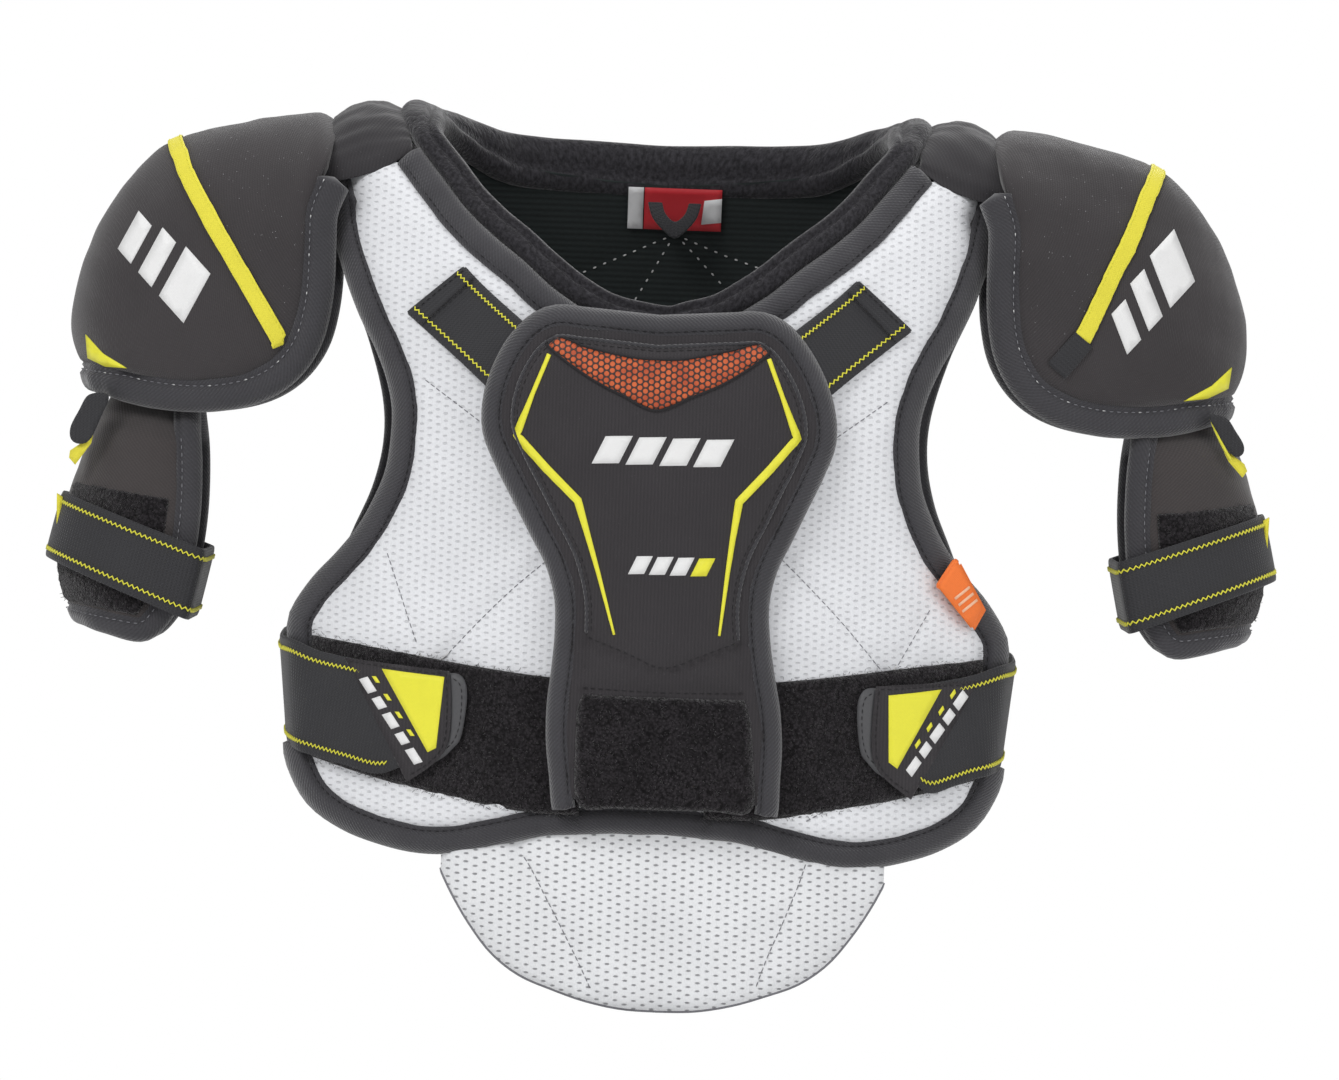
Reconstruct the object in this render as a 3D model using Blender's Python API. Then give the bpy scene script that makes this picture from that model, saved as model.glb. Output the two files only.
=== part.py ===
"""Youth ice-hockey shoulder pads: torso panels, sternum guard, hinged shoulder caps and upper-arm guards.

Lengths below are in millimetres and are turned into metres when a mesh is made.
+X is the left-hand side of the drawing's right cap, -Y is the chest side, +Z is up.
The origin lies on the mid plane, in the middle of the neck opening.
"""

import math

import bmesh
import bpy
from mathutils import Vector
from mathutils.geometry import delaunay_2d_cdt

# ---------------------------------------------------------------- driving dimensions
MM = 0.001
HALF_CHEST = 142.0          # half width that the chest curve is drawn for
CHEST_FRONT = -98.0         # y of the chest at the mid plane
BACK_REAR = 88.0            # y of the back at the mid plane
COVER_T, FOAM_T, LINER_T, GAP = 1.2, 7.6, 1.0, 0.5
CAP_DEPTH, CAP_DEPTH_END = 56.0, 31.0
ARM_DEPTH = 38.0
BRIDGE_DEPTH = 42.0
BINDING_W, BINDING_T = 10.5, 5.6
BAND_T = 1.8
SWAY = 9.0                  # how far the guard and flap hang to the side at their low end
ARM_REST = {-1: (-4.0, -4.0), 1: (4.0, 4.0)}   # how each arm guard hangs: outward shift, then up
CAP_REST = {-1: -1.5, 1: 1.5}

# Profiles of the left half, (x, z), with x to be mirrored for the other half.
CAP_TOP = [(-128, 12.5), (-140, 13), (-154, 11), (-168, 8), (-181, 5), (-194, 0), (-204, -9), (-213, -20), (-220, -32), (-225, -45), (-228, -58), (-228.5, -72), (-226, -86)]
CAP_RIM = [(-134, -10), (-138.5, -22), (-139, -35), (-139, -48), (-140, -60), (-143, -72), (-150, -82), (-160, -88), (-173, -91), (-185, -91.5), (-198, -90.5), (-208, -88.5)]
ARM_EDGE = [(-191, -109.5), (-190, -122), (-190, -140), (-192, -158), (-196, -173), (-203, -183.5)]
ARM_SIDE = [(-223, -106.5), (-228, -118), (-233, -134), (-237, -150), (-237.5, -165), (-233, -178)]
BAND_TOP = ((-179.6, -154), (-236.6, -134))
BAND_LOW = ((-185.6, -182), (-242.6, -160))
ARMHOLE = [(-120, -20), (-120.5, -31), (-115, -47), (-109, -61), (-102.5, -73), (-97, -86), (-94, -99), (-94, -113), (-96, -127), (-101, -140), (-107.5, -152), (-116, -163), (-125, -173), (-132, -184)]
SIDE_EDGE = [(-132, -184), (-131.5, -212), (-130.5, -238)]
HEM = [(-130.5, -238), (-124, -249), (-113, -256), (-101, -260), (-88, -262.5), (-76, -262.5), (-63, -260), (-51, -257), (-38, -254), (-26, -253), (-13, -252), (0, -252)]
NECK = [(0, -78), (-24, -73.5), (-46, -61), (-59, -50), (-72, -40), (-84, -29), (-94, -17), (-104, -4.5)]
CHEST_TOP = [(-104, -4.5), (-112.6, -11), (-120, -20)]
STERNUM = [(0, -67), (-14, -66), (-28, -65), (-40, -64.5), (-49, -70), (-56.5, -81), (-61, -93), (-62, -106), (-57.5, -118), (-51, -131), (-45, -143), (-38.5, -156), (-35, -170), (-35, -184), (-36.5, -198), (-38.5, -212), (-39, -226), (-38, -239), (-37.5, -248)]
BELLY = [(0, -329), (-14, -328.5), (-28, -326), (-41, -322), (-54, -317), (-65, -309), (-74, -298), (-81, -287), (-86, -277.5)]
BELLY_TOP = [(-86, -277.5), (-75, -276.5), (-63, -274.5), (-50, -271.5), (-38, -268.5), (-25, -266.5), (-13, -265), (0, -264.5)]
BACK_ARMHOLE = [(-120, -20), (-118, -45), (-108, -70), (-101, -95), (-100, -115), (-104, -135), (-112, -155), (-117, -170)]
BACK_SIDE = [(-117, -170), (-118.5, -200), (-116, -228)]
BACK_LOW = [(-116, -228), (-98, -240), (-60, -247), (-25, -250), (0, -250)]
BACK_TOP = [(0, -19), (-30, -18), (-55, -17), (-74, -15), (-90, -11), (-104, -8), (-113, -12), (-120, -20)]


# ---------------------------------------------------------------- curves and surfaces
def lean(z, start, height, most):
    t = max(0.0, (z - start) / height)
    return most * t * t


def front_y(x, z):
    """Outer face of the chest: bulged across, leaning back towards the shoulders."""
    return CHEST_FRONT + 50.0 * (abs(x) / HALF_CHEST) ** 2.3 + lean(z, -100, 100, 30)


def back_y(x, z):
    """Outer face of the back panel."""
    return BACK_REAR - 42.0 * (abs(x) / 140.0) ** 2.3 - lean(z, -80, 80, 30)


def catmull(points, count, closed=False):
    """The smooth curve through points, read at count places an equal distance apart."""
    n = len(points)
    dense = []
    spans = n if closed else n - 1
    for i in range(spans):
        p = [points[(i + k) % n] if closed else points[min(max(i + k, 0), n - 1)] for k in (-1, 0, 1, 2)]
        for step in range(12):
            t = step / 12
            dense.append(tuple(
                0.5 * (2 * b + (c - a) * t + (2 * a - 5 * b + 4 * c - d) * t * t + (3 * b - a - 3 * c + d) * t ** 3)
                for a, b, c, d in zip(*p)))
    dense.append(tuple(points[0] if closed else points[-1]))
    dist = [0.0]
    for a, b in zip(dense, dense[1:]):
        dist.append(dist[-1] + math.dist(a, b))
    places = count if closed else count - 1
    out, k = [], 0
    for i in range(count):
        want = dist[-1] * i / places
        while k < len(dense) - 2 and dist[k + 1] < want:
            k += 1
        span = dist[k + 1] - dist[k]
        t = 0 if span == 0 else (want - dist[k]) / span
        out.append(tuple(a + (b - a) * t for a, b in zip(dense[k], dense[k + 1])))
    return out


def run(points, spacing):
    length = sum(math.dist(a, b) for a, b in zip(points, points[1:]))
    return catmull(points, max(2, round(length / spacing) + 1))


def flip(points):
    """The same profile on the other half, in reverse order."""
    return [(-p[0],) + tuple(p[1:]) for p in reversed(points)]


def chain(*runs):
    out = []
    for points in runs:
        for p in points:
            if not out or math.dist(out[-1], p) > 0.01:
                out.append(tuple(p))
    if math.dist(out[0], out[-1]) < 0.01:
        out.pop()
    return out


def shifted(points, distance):
    """A polyline moved sideways to its left, in its own plane."""
    out = []
    for i, p in enumerate(points):
        a, b = points[max(i - 1, 0)], points[min(i + 1, len(points) - 1)]
        dx, dz = b[0] - a[0], b[1] - a[1]
        size = math.hypot(dx, dz)
        out.append((p[0] - dz / size * distance, p[1] + dx / size * distance))
    return out


def sway(points):
    """The sternum guard and belly flap hang a little to one side, more so lower down."""
    return [(p[0] + SWAY * min(1.0, max(0.0, (-75 - p[1]) / 175)), p[1]) for p in points]


def inside(p, loop):
    hit = False
    for a, b in zip(loop, loop[1:] + loop[:1]):
        if (a[1] > p[1]) != (b[1] > p[1]) and p[0] < a[0] + (p[1] - a[1]) * (b[0] - a[0]) / (b[1] - a[1]):
            hit = not hit
    return hit


def edge_distance(p, loop):
    best = 1e9
    for a, b in zip(loop, loop[1:] + loop[:1]):
        dx, dz = b[0] - a[0], b[1] - a[1]
        t = min(1, max(0, ((p[0] - a[0]) * dx + (p[1] - a[1]) * dz) / (dx * dx + dz * dz)))
        best = min(best, math.hypot(p[0] - a[0] - t * dx, p[1] - a[1] - t * dz))
    return best


# ---------------------------------------------------------------- making objects
MATERIALS = {}


def material(name, colour, roughness, metallic=0.0):
    if name not in MATERIALS:
        made = bpy.data.materials.new(name)
        made.use_nodes = True
        shader = made.node_tree.nodes["Principled BSDF"]
        shader.inputs["Base Color"].default_value = (*colour, 1)
        shader.inputs["Roughness"].default_value = roughness
        shader.inputs["Metallic"].default_value = metallic
        MATERIALS[name] = made
    return MATERIALS[name]


WHITE_MESH = ("white_mesh", (0.72, 0.73, 0.76), 0.8)
CHARCOAL = ("charcoal_knit", (0.045, 0.04, 0.043), 0.85)
FLEECE = ("black_fleece", (0.02, 0.02, 0.022), 0.95)
LINER = ("dark_liner", (0.018, 0.022, 0.022), 0.9)
ELASTIC = ("black_elastic", (0.025, 0.025, 0.028), 0.75)
LOOP = ("black_loop_pile", (0.017, 0.015, 0.017), 1.0)
FOAM = ("grey_foam", (0.2, 0.2, 0.21), 0.9)
PLASTIC = ("white_polyethylene", (0.75, 0.75, 0.73), 0.45)
YELLOW = ("yellow_tape", (0.82, 0.75, 0.05), 0.7)
GREY_RUBBER = ("grey_rubber", (0.12, 0.12, 0.125), 0.5)
ORANGE = ("orange_tag", (0.9, 0.3, 0.06), 0.7)
RED = ("red_label", (0.6, 0.04, 0.03), 0.6)

PARENTS = {}


def joint_empty(name, place, parent=None):
    empty = bpy.data.objects.new(name, None)
    bpy.context.scene.collection.objects.link(empty)
    empty.location = Vector(place) * MM
    if parent:
        empty.parent = parent[0]
        empty.location = (Vector(place) - parent[1]) * MM
    PARENTS[name] = (empty, Vector(place))
    return PARENTS[name]


def make(name, points, faces, look, parent=None):
    origin = parent[1] if parent else Vector((0, 0, 0))
    mesh = bpy.data.meshes.new(name)
    mesh.from_pydata([(Vector(p) - origin) * MM for p in points], [], faces)
    work = bmesh.new()
    work.from_mesh(mesh)
    bmesh.ops.recalc_face_normals(work, faces=work.faces)
    work.to_mesh(mesh)
    work.free()
    mesh.shade_smooth()
    mesh.set_sharp_from_angle(angle=math.radians(40))
    mesh.materials.append(material(*look))
    obj = bpy.data.objects.new(name, mesh)
    bpy.context.scene.collection.objects.link(obj)
    if parent:
        obj.parent = parent[0]
    return obj


def panel(name, loop, surface, near, far, pitch, look, parent=None):
    """A sheet cut to a flat outline and laid on y = surface(x, z), from near to far behind it."""
    points = [Vector(p) for p in loop]
    xs, zs = [p[0] for p in loop], [p[1] for p in loop]
    row, z = 0, min(zs) + pitch * 0.5
    while z < max(zs):
        x = min(xs) + pitch * (0.25 + 0.5 * (row % 2))
        while x < max(xs):
            if inside((x, z), loop) and edge_distance((x, z), loop) > pitch * 0.5:
                points.append(Vector((x, z)))
            x += pitch
        row, z = row + 1, z + pitch * 0.87
    n = len(loop)
    flat, _, tris, _, _, _ = delaunay_2d_cdt(points, [(i, (i + 1) % n) for i in range(n)], [list(range(n))], 1, 1e-4)
    count = len(flat)
    out = [(p.x, surface(p.x, p.y) + near, p.y) for p in flat] + [(p.x, surface(p.x, p.y) + far, p.y) for p in flat]
    faces = []
    used = {}
    for face in tris:
        faces.append(tuple(face))
        faces.append(tuple(i + count for i in reversed(face)))
        for a, b in zip(face, face[1:] + face[:1]):
            used[(a, b)] = used.get((a, b), 0) + 1
    for a, b in list(used):
        if (b, a) not in used:
            faces.append((b, a, a + count, b + count))
    return make(name, out, faces, look, parent)


def sheet(name, outer, inner, look, parent=None, ring=False):
    """A closed solid between two grids of points with the same rows and columns."""
    rows, cols = len(outer), len(outer[0])
    points = [p for line in outer for p in line] + [p for line in inner for p in line]
    half = rows * cols

    def at(i, j, side=0):
        return (i % rows) * cols + j + side * half

    faces = []
    spans = rows if ring else rows - 1
    for i in range(spans):
        for j in range(cols - 1):
            for corners in ((at(i, j), at(i + 1, j), at(i + 1, j + 1)), (at(i, j), at(i + 1, j + 1), at(i, j + 1))):
                faces.append(corners)
                faces.append(tuple(k + half for k in reversed(corners)))
        for j in (0, cols - 1):
            faces.append((at(i, j), at(i + 1, j), at(i + 1, j, 1), at(i, j, 1)))
    if not ring:
        for i in (0, rows - 1):
            for j in range(cols - 1):
                faces.append((at(i, j), at(i, j + 1), at(i, j + 1, 1), at(i, j, 1)))
    return make(name, points, faces, look, parent)


def strip(name, edge_a, edge_b, thick, look, parent=None, ring=False, sides=8, up=None):
    """A sewn strip between two edges in space. sides = 4 gives flat webbing, more give a rolled binding."""
    n = len(edge_a)
    points = []
    for i in range(n):
        a, b = Vector(edge_a[i]), Vector(edge_b[i])
        if ring:
            before, after = (i - 1) % n, (i + 1) % n
        else:
            before, after = max(i - 1, 0), min(i + 1, n - 1)
        along = (Vector(edge_a[after]) + Vector(edge_b[after]) - Vector(edge_a[before]) - Vector(edge_b[before])).normalized()
        wide = (b - a) / 2
        normal = (Vector(up) if up else along.cross(wide).normalized()) * thick
        middle = (a + b) / 2
        if sides == 4:
            corners = [(-1, 1), (1, 1), (1, -1), (-1, -1)]
        else:
            corners = []
            for k in range(sides):
                c, s = math.cos(2 * math.pi * (k + 0.5) / sides), math.sin(2 * math.pi * (k + 0.5) / sides)
                m = math.cos(math.pi / sides)
                corners.append((c / m, s / m))
        points += [middle + wide * c + normal * s for c, s in corners]
    faces = []
    for i in range(n if ring else n - 1):
        j = (i + 1) % n
        for k in range(sides):
            m = (k + 1) % sides
            faces.append((i * sides + k, j * sides + k, j * sides + m, i * sides + m))
    if not ring:
        faces.append(tuple(range(sides)))
        faces.append(tuple((n - 1) * sides + k for k in reversed(range(sides))))
    return make(name, points, faces, look, parent)


class Dome:
    """Half-round guard: each section runs from a front edge over an outer line to the mirrored back edge."""

    def __init__(self, edge, top, depth, side, shift):
        n = 41
        place = lambda p: (-side * p[0] + side * shift[0], p[1] + shift[1])
        self.edge = catmull([place(p) for p in edge], n)
        self.top = catmull([place(p) for p in top], n)
        self.n, self.depth, self.side = n, depth, side

    def base(self, u, phi):
        v = min(max(u, 0.0), 1.0) * (self.n - 1)
        k = min(int(v), self.n - 2)
        t = v - k
        extra = u - min(max(u, 0.0), 1.0)
        read = lambda line: Vector(line[k]) + (Vector(line[k + 1]) - Vector(line[k])) * (t + extra * (self.n - 1))
        e, o = read(self.edge), read(self.top)
        flat = e + (o - e) * math.sin(phi)
        return Vector((flat.x, -self.depth(min(max(u, 0), 1)) * math.cos(phi), flat.y))

    def slope(self, line, u):
        """Direction of one of the two guide lines at u, in x and z."""
        v = min(max(u, 0.0), 1.0) * (self.n - 1)
        lo, hi = max(int(v) - 1, 0), min(int(v) + 2, self.n - 1)
        return (Vector(line[hi]) - Vector(line[lo])).normalized()

    def normal(self, u, phi):
        """Outward: straight to the front at the edge, square to the outer line over the top."""
        t = self.slope(self.top, u)
        flat = Vector((-t.y, 0, t.x)) * self.side
        v = min(max(u, 0.0), 1.0)
        reach = (self.base(v, math.pi / 2) - self.base(v, 0)).xz.length
        return (flat * (math.sin(phi) / reach) + Vector((0, -math.cos(phi) / self.depth(v), 0))).normalized()

    def at(self, u, phi, lift=0.0):
        return self.base(u, phi) + self.normal(u, phi) * lift

    def grid(self, lift, us, phis):
        return [[tuple(self.at(u, phi, lift)) for phi in phis] for u in us]

    def layer(self, name, high, low, look, parent, us, phis):
        return sheet(name, self.grid(high, us, phis), self.grid(low, us, phis), look, parent)

    def rim(self, steps, arc, middle, begin=0.0):
        """Edge loop: down the front edge, round the outer end, and up the back edge."""
        path = [(begin + (1 - begin) * i / steps, 0.0) for i in range(steps + 1)]
        path += [(1.0, math.pi * i / arc) for i in range(1, arc)]
        path += [(1.0 - (1 - begin) * i / steps, math.pi) for i in range(steps + 1)]
        inner, outer = [], []
        for i, (u, phi) in enumerate(path):
            ahead, behind = path[min(i + 1, len(path) - 1)], path[max(i - 1, 0)]
            along = (self.base(*ahead) - self.base(*behind)).normalized()
            normal = self.normal(u, phi)
            out = along.cross(normal).normalized() * self.side
            start = self.base(u, phi) + normal * middle
            inner.append(start + out * 1.0)
            outer.append(start + out * (1.0 + BINDING_W))
        return inner, outer


def steps(first, last, count):
    return [first + (last - first) * i / (count - 1) for i in range(count)]


# ---------------------------------------------------------------- clear the scene
for old in list(bpy.data.objects):
    bpy.data.objects.remove(old, do_unlink=True)

# ---------------------------------------------------------------- joint empties
STERNUM_HINGE = (0.0, CHEST_FRONT - 2.0, -249.0)
BELLY_HINGE = (0.0, CHEST_FRONT + 5.0, -263.5)
sternum = joint_empty("sternum_hinge", STERNUM_HINGE)
belly = joint_empty("belly_hinge", BELLY_HINGE)

# ---------------------------------------------------------------- torso front
left = chain(run(NECK, 13), run(CHEST_TOP, 9), run(ARMHOLE, 13), run(SIDE_EDGE, 14), run(HEM, 13))
chest_loop = chain(left, flip(left))
t = 0.0
panel("chest_cover", chest_loop, front_y, t, t + COVER_T, 26, WHITE_MESH)
t += COVER_T + GAP
panel("chest_foam", chest_loop, front_y, t, t + FOAM_T, 26, FOAM)
t += FOAM_T + GAP
panel("chest_liner", chest_loop, front_y, t, t + LINER_T, 26, LINER)
CHEST_T = t + LINER_T


def on_front(points, offset):
    return [(x, front_y(x, z) + offset, z) for x, z in points]


def on_back(points, offset):
    return [(x, back_y(x, z) + offset, z) for x, z in points]


for side, tag in ((-1, "left"), (1, "right")):
    m = lambda points: [(-side * x, z) for x, z in points]
    hole = run([(-121.5, -25)] + ARMHOLE[1:] + [(-132.4, -190)], 13)
    strip("armhole_binding_" + tag, on_front(m(shifted(hole, -1.5)), CHEST_T / 2), on_front(m(shifted(hole, -8.2)), CHEST_T / 2 + 2.0), BINDING_T + 0.8, FLEECE, sides=6, up=(0, 1, 0))

low = run([(-131.4, -236)] + HEM, 13)
low = chain(low, flip(low))
strip("chest_hem_binding", on_front(shifted(low, -0.8), CHEST_T / 2), on_front(shifted(low, -9.6), CHEST_T / 2 + 1), BINDING_T + 0.8, FLEECE, sides=6, up=(0, 1, 0))

# Neck: a flat binding along the chest edge, then a fleece-lined roll right round.
half = run(NECK, 13)
whole = chain(flip(half), half)
strip("collar_binding", on_front(shifted(whole, -0.9), 5.2), on_front(shifted(whole, -9.4), 5.4), 4.2, FLEECE, sides=6, up=(0, 1, 0))
front_half = run(NECK[:-1] + [(-103, -6)], 15)
in_a, in_b = shifted(front_half, -10.2), shifted(front_half, -20.5)
edge_a = [(x, front_y(x, z) + 6.5, z) for x, z in in_a] + [(-103.5, -26, 9.5), (-105, -6, 16.5), (-99, 16, 17.5), (-84, 37, 15), (-67, 50, 9), (-49, 57.5, 6), (-25, 62, 5), (0, 63.5, 4)]
edge_b = [(x, front_y(x, z) + 8.5, z) for x, z in in_b] + [(-87, -24, 11.5), (-87, -5, 14), (-84.5, 14, 11.5), (-77, 32, 1), (-63, 43, -6.5), (-47, 50.5, -9), (-24, 55.5, -11.5), (0, 57, -12.5)]
mirror3 = lambda edge: [(-x, y, z) for x, y, z in reversed(edge[1:-1])]
strip("neck_collar", edge_a + mirror3(edge_a), edge_b + mirror3(edge_b), 4.4, FLEECE, ring=True, sides=8)

# ---------------------------------------------------------------- torso back
left = chain(run(BACK_TOP, 15), run(BACK_ARMHOLE, 15), run(BACK_SIDE, 15), run(BACK_LOW, 15))
back_loop = chain(left, flip(left))
panel("back_cover", back_loop, back_y, -COVER_T, 0, 28, CHARCOAL)
panel("back_foam", back_loop, back_y, -COVER_T - GAP - FOAM_T - 1, -COVER_T - GAP, 28, LINER)
guard = [(-36, -40), (-40, -95), (-38, -150), (-31, -205), (-18, -222), (0, -225)]
guard_top = [(0, -32), (-22, -33), (-36, -40)]
left = chain(run(guard_top, 15), run(guard, 15))
panel("spine_guard", chain(left, flip(left)), back_y, 1.5, 9.5, 24, CHARCOAL)
left = run([(-121, -25)] + BACK_ARMHOLE[1:] + BACK_SIDE[1:] + BACK_LOW[1:], 16)
rim = chain(left, flip(left))
strip("back_binding", on_back(shifted(rim, -1.6), -5), on_back(shifted(rim, -8.8), -6), BINDING_T, FLEECE, sides=6, up=(0, 1, 0))

for side, tag in ((-1, "left"), (1, "right")):
    bridge = Dome([(-106.5, -1), (-112.6, -6.5), (-122.2, -13.5)], [(-111, 18.5), (-119.5, 18), (-125, 12.5)], lambda u: BRIDGE_DEPTH, side, (0, 0))
    bridge.layer("shoulder_bridge_" + tag, 0, -7.5, CHARCOAL, None, steps(0, 1, 4), steps(0, math.pi, 13))

# Things sewn to the chest and to the inside of the back.
loop_edge = [(-133, -189.5), (-100, -194), (-72, -198)]
loop_low = [(-70, -250.5), (-93, -246.2), (-112, -241.8), (-129.5, -237)]
for side, tag in ((-1, "left"), (1, "right")):
    m = lambda points: [(-side * x, z) for x, z in points]
    near_guard = -46.0 if side == -1 else -54.5
    field = [(-131, -190)] + run(loop_edge + [(near_guard, -201)], 17)[1:] + run([(near_guard, -253.3)] + loop_low, 16)
    panel("loop_field_" + tag, m(field), front_y, -2.6, -1.1, 30, LOOP)
    top = [(-78, -43.5, -1.2), (-69, -51, -1.8), (-60.8, -58, -3.6), (-52.3, -65, -6.4)]
    low = [(-98.5, -62.5, -1.2), (-87, -72, -1.8), (-76, -81, -3.6), (-66.2, -89.5, -6.4)]
    lift = 1.9
    a = [(-side * x, front_y(x, z) + o - lift, z) for x, z, o in catmull(top, 6)]
    b = [(-side * x, front_y(x, z) + o - lift, z) for x, z, o in catmull(low, 6)]
    a[-1] = tuple(Vector(a[-1]) + (Vector(a[-2]) - Vector(a[-1])) * 0.45)
    b[-1] = tuple(Vector(b[-1]) + (Vector(b[-2]) - Vector(b[-1])) * 0.45)
    strip("upper_chest_strap_" + tag, a, b, 0.9, ELASTIC, sides=4)
    # Belt: elastic from the back, round the side, to a hinge line; then the front patch.
    rear_a = catmull([(-side * x, y, z) for x, y, z in ((-130, 49, -185.5), (-138.5, 30, -187), (-142.5, 8, -188.5), (-143.3, -13.6, -190))], 6)
    rear_b = catmull([(-side * x, y, z) for x, y, z in ((-129.5, 48, -224), (-135.5, 29, -227), (-138.4, 8, -229), (-138.8, -13.6, -231))], 6)
    strip("belt_strap_" + tag, rear_a, rear_b, 0.9, ELASTIC, sides=4)
    hinge = joint_empty("belt_hinge_" + tag, (-side * -142.0, -14.0, -210.0))
    off = 5.4
    f = lambda x, z: front_y(x, z) - off
    # The right belt is fastened further out than the left one.
    out = 0.0 if side == -1 else 13.0
    xa = (-128, -113, -98, -84) if side == -1 else (-128, -117.3, -106.7, -97)
    xb = (-127, -116, -103, -93) if side == -1 else (-127, -120.3, -111.7, -106)
    a = [(-143.3, -14.4, -190), (-143, -28, -190.6), (-141.3, -43, -191.2), (-137.6, f(-137.6, -192) + 1.0, -192)] + [(x, f(x, z), z) for x, z in zip(xa, (-195.5, -198, -199.8, -201))]
    b = [(-138.8, -14.4, -231), (-138.8, -28, -231.6), (-137.8, -43, -233), (-134.8, f(-134.8, -235) + 0.5, -235)] + [(x, f(x, z), z) for x, z in zip(xb, (-237, -239.5, -242, -238))]
    strip("belt_front_" + tag, [(-side * x, y, z) for x, y, z in a], [(-side * x, y, z) for x, y, z in b], 0.9, ELASTIC, hinge, sides=4)
    tab = [(-83.2, -202.5), (-79, -204), (-76.2, -208), (-75.8, -216), (-77, -224), (-80, -230), (-85, -233.5), (-90.5, -235.5), (-86.6, -219)]
    tab = [(x - out, z) for x, z in tab]
    panel("belt_hook_tab_" + tag, m(tab), front_y, -6.4, -4.6, 12, GREY_RUBBER, hinge)

panel("neck_label", [(-16, -14.6), (21, -14.6), (21, -25), (-16, -25)], lambda x, z: back_y(x, z) - COVER_T - GAP - FOAM_T - 1, -1.7, -0.8, 30, RED)
hang = [(-7, -19.5), (-2.5, -26), (4, -29.5), (10.5, -26), (15, -19.5)]
hang_in = [(-2.6, -19.5), (0.3, -23.2), (4, -25), (7.7, -23.2), (10.6, -19.5)]
y_hang = 49.0
strip("hang_loop", [(x, y_hang, z) for x, z in catmull(hang, 11)], [(x, y_hang, z) for x, z in catmull(hang_in, 11)], 0.7, ELASTIC, sides=4)
tag_line = [(112, -158), (120, -150.5), (130.5, -171), (125.5, -178.5)]
panel("side_tag", tag_line, front_y, -6.0, -4.6, 14, ORANGE)

# ---------------------------------------------------------------- sternum guard
left = run(STERNUM, 13)
guard_loop = sway(chain(left, flip(left)))
panel("sternum_plate", guard_loop, front_y, -4.6, -3.0, 26, PLASTIC, sternum)
panel("sternum_foam", guard_loop, front_y, -11.6, -5.1, 26, FOAM, sternum)
panel("sternum_cover", guard_loop, front_y, -13.3, -12.1, 26, LOOP, sternum)
rim = run(STERNUM, 13)
rim = sway(chain(flip(rim), rim))
strip("sternum_binding", on_front(shifted(rim, -0.8), -8.0), on_front(shifted(rim, -6.6), -7.2), BINDING_T + 0.4, FLEECE, sternum, sides=6, up=(0, 1, 0))
low = [(-34.5, -208), (-36.5, -214), (-37, -228), (-35.5, -246), (-18, -246.5), (0, -246.5)]
up = [(0, -208), (-17, -208), (-34.5, -208)]
left = chain(run(up, 17), run(low, 15))
panel("sternum_loop_panel", sway(chain(left, flip(left))), front_y, -15.4, -13.9, 24, LOOP, sternum)

# ---------------------------------------------------------------- belly flap
left = chain(run(BELLY, 15), run(BELLY_TOP, 15))
flap = sway(chain(left, flip(left)))
flap_y = lambda x, z: front_y(x, max(z, -272)) + 2.2
panel("belly_flap_cover", flap, flap_y, 0, 1.2, 26, WHITE_MESH, belly)
panel("belly_flap_foam", flap, flap_y, 1.7, 6.2, 26, FOAM, belly)

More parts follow.
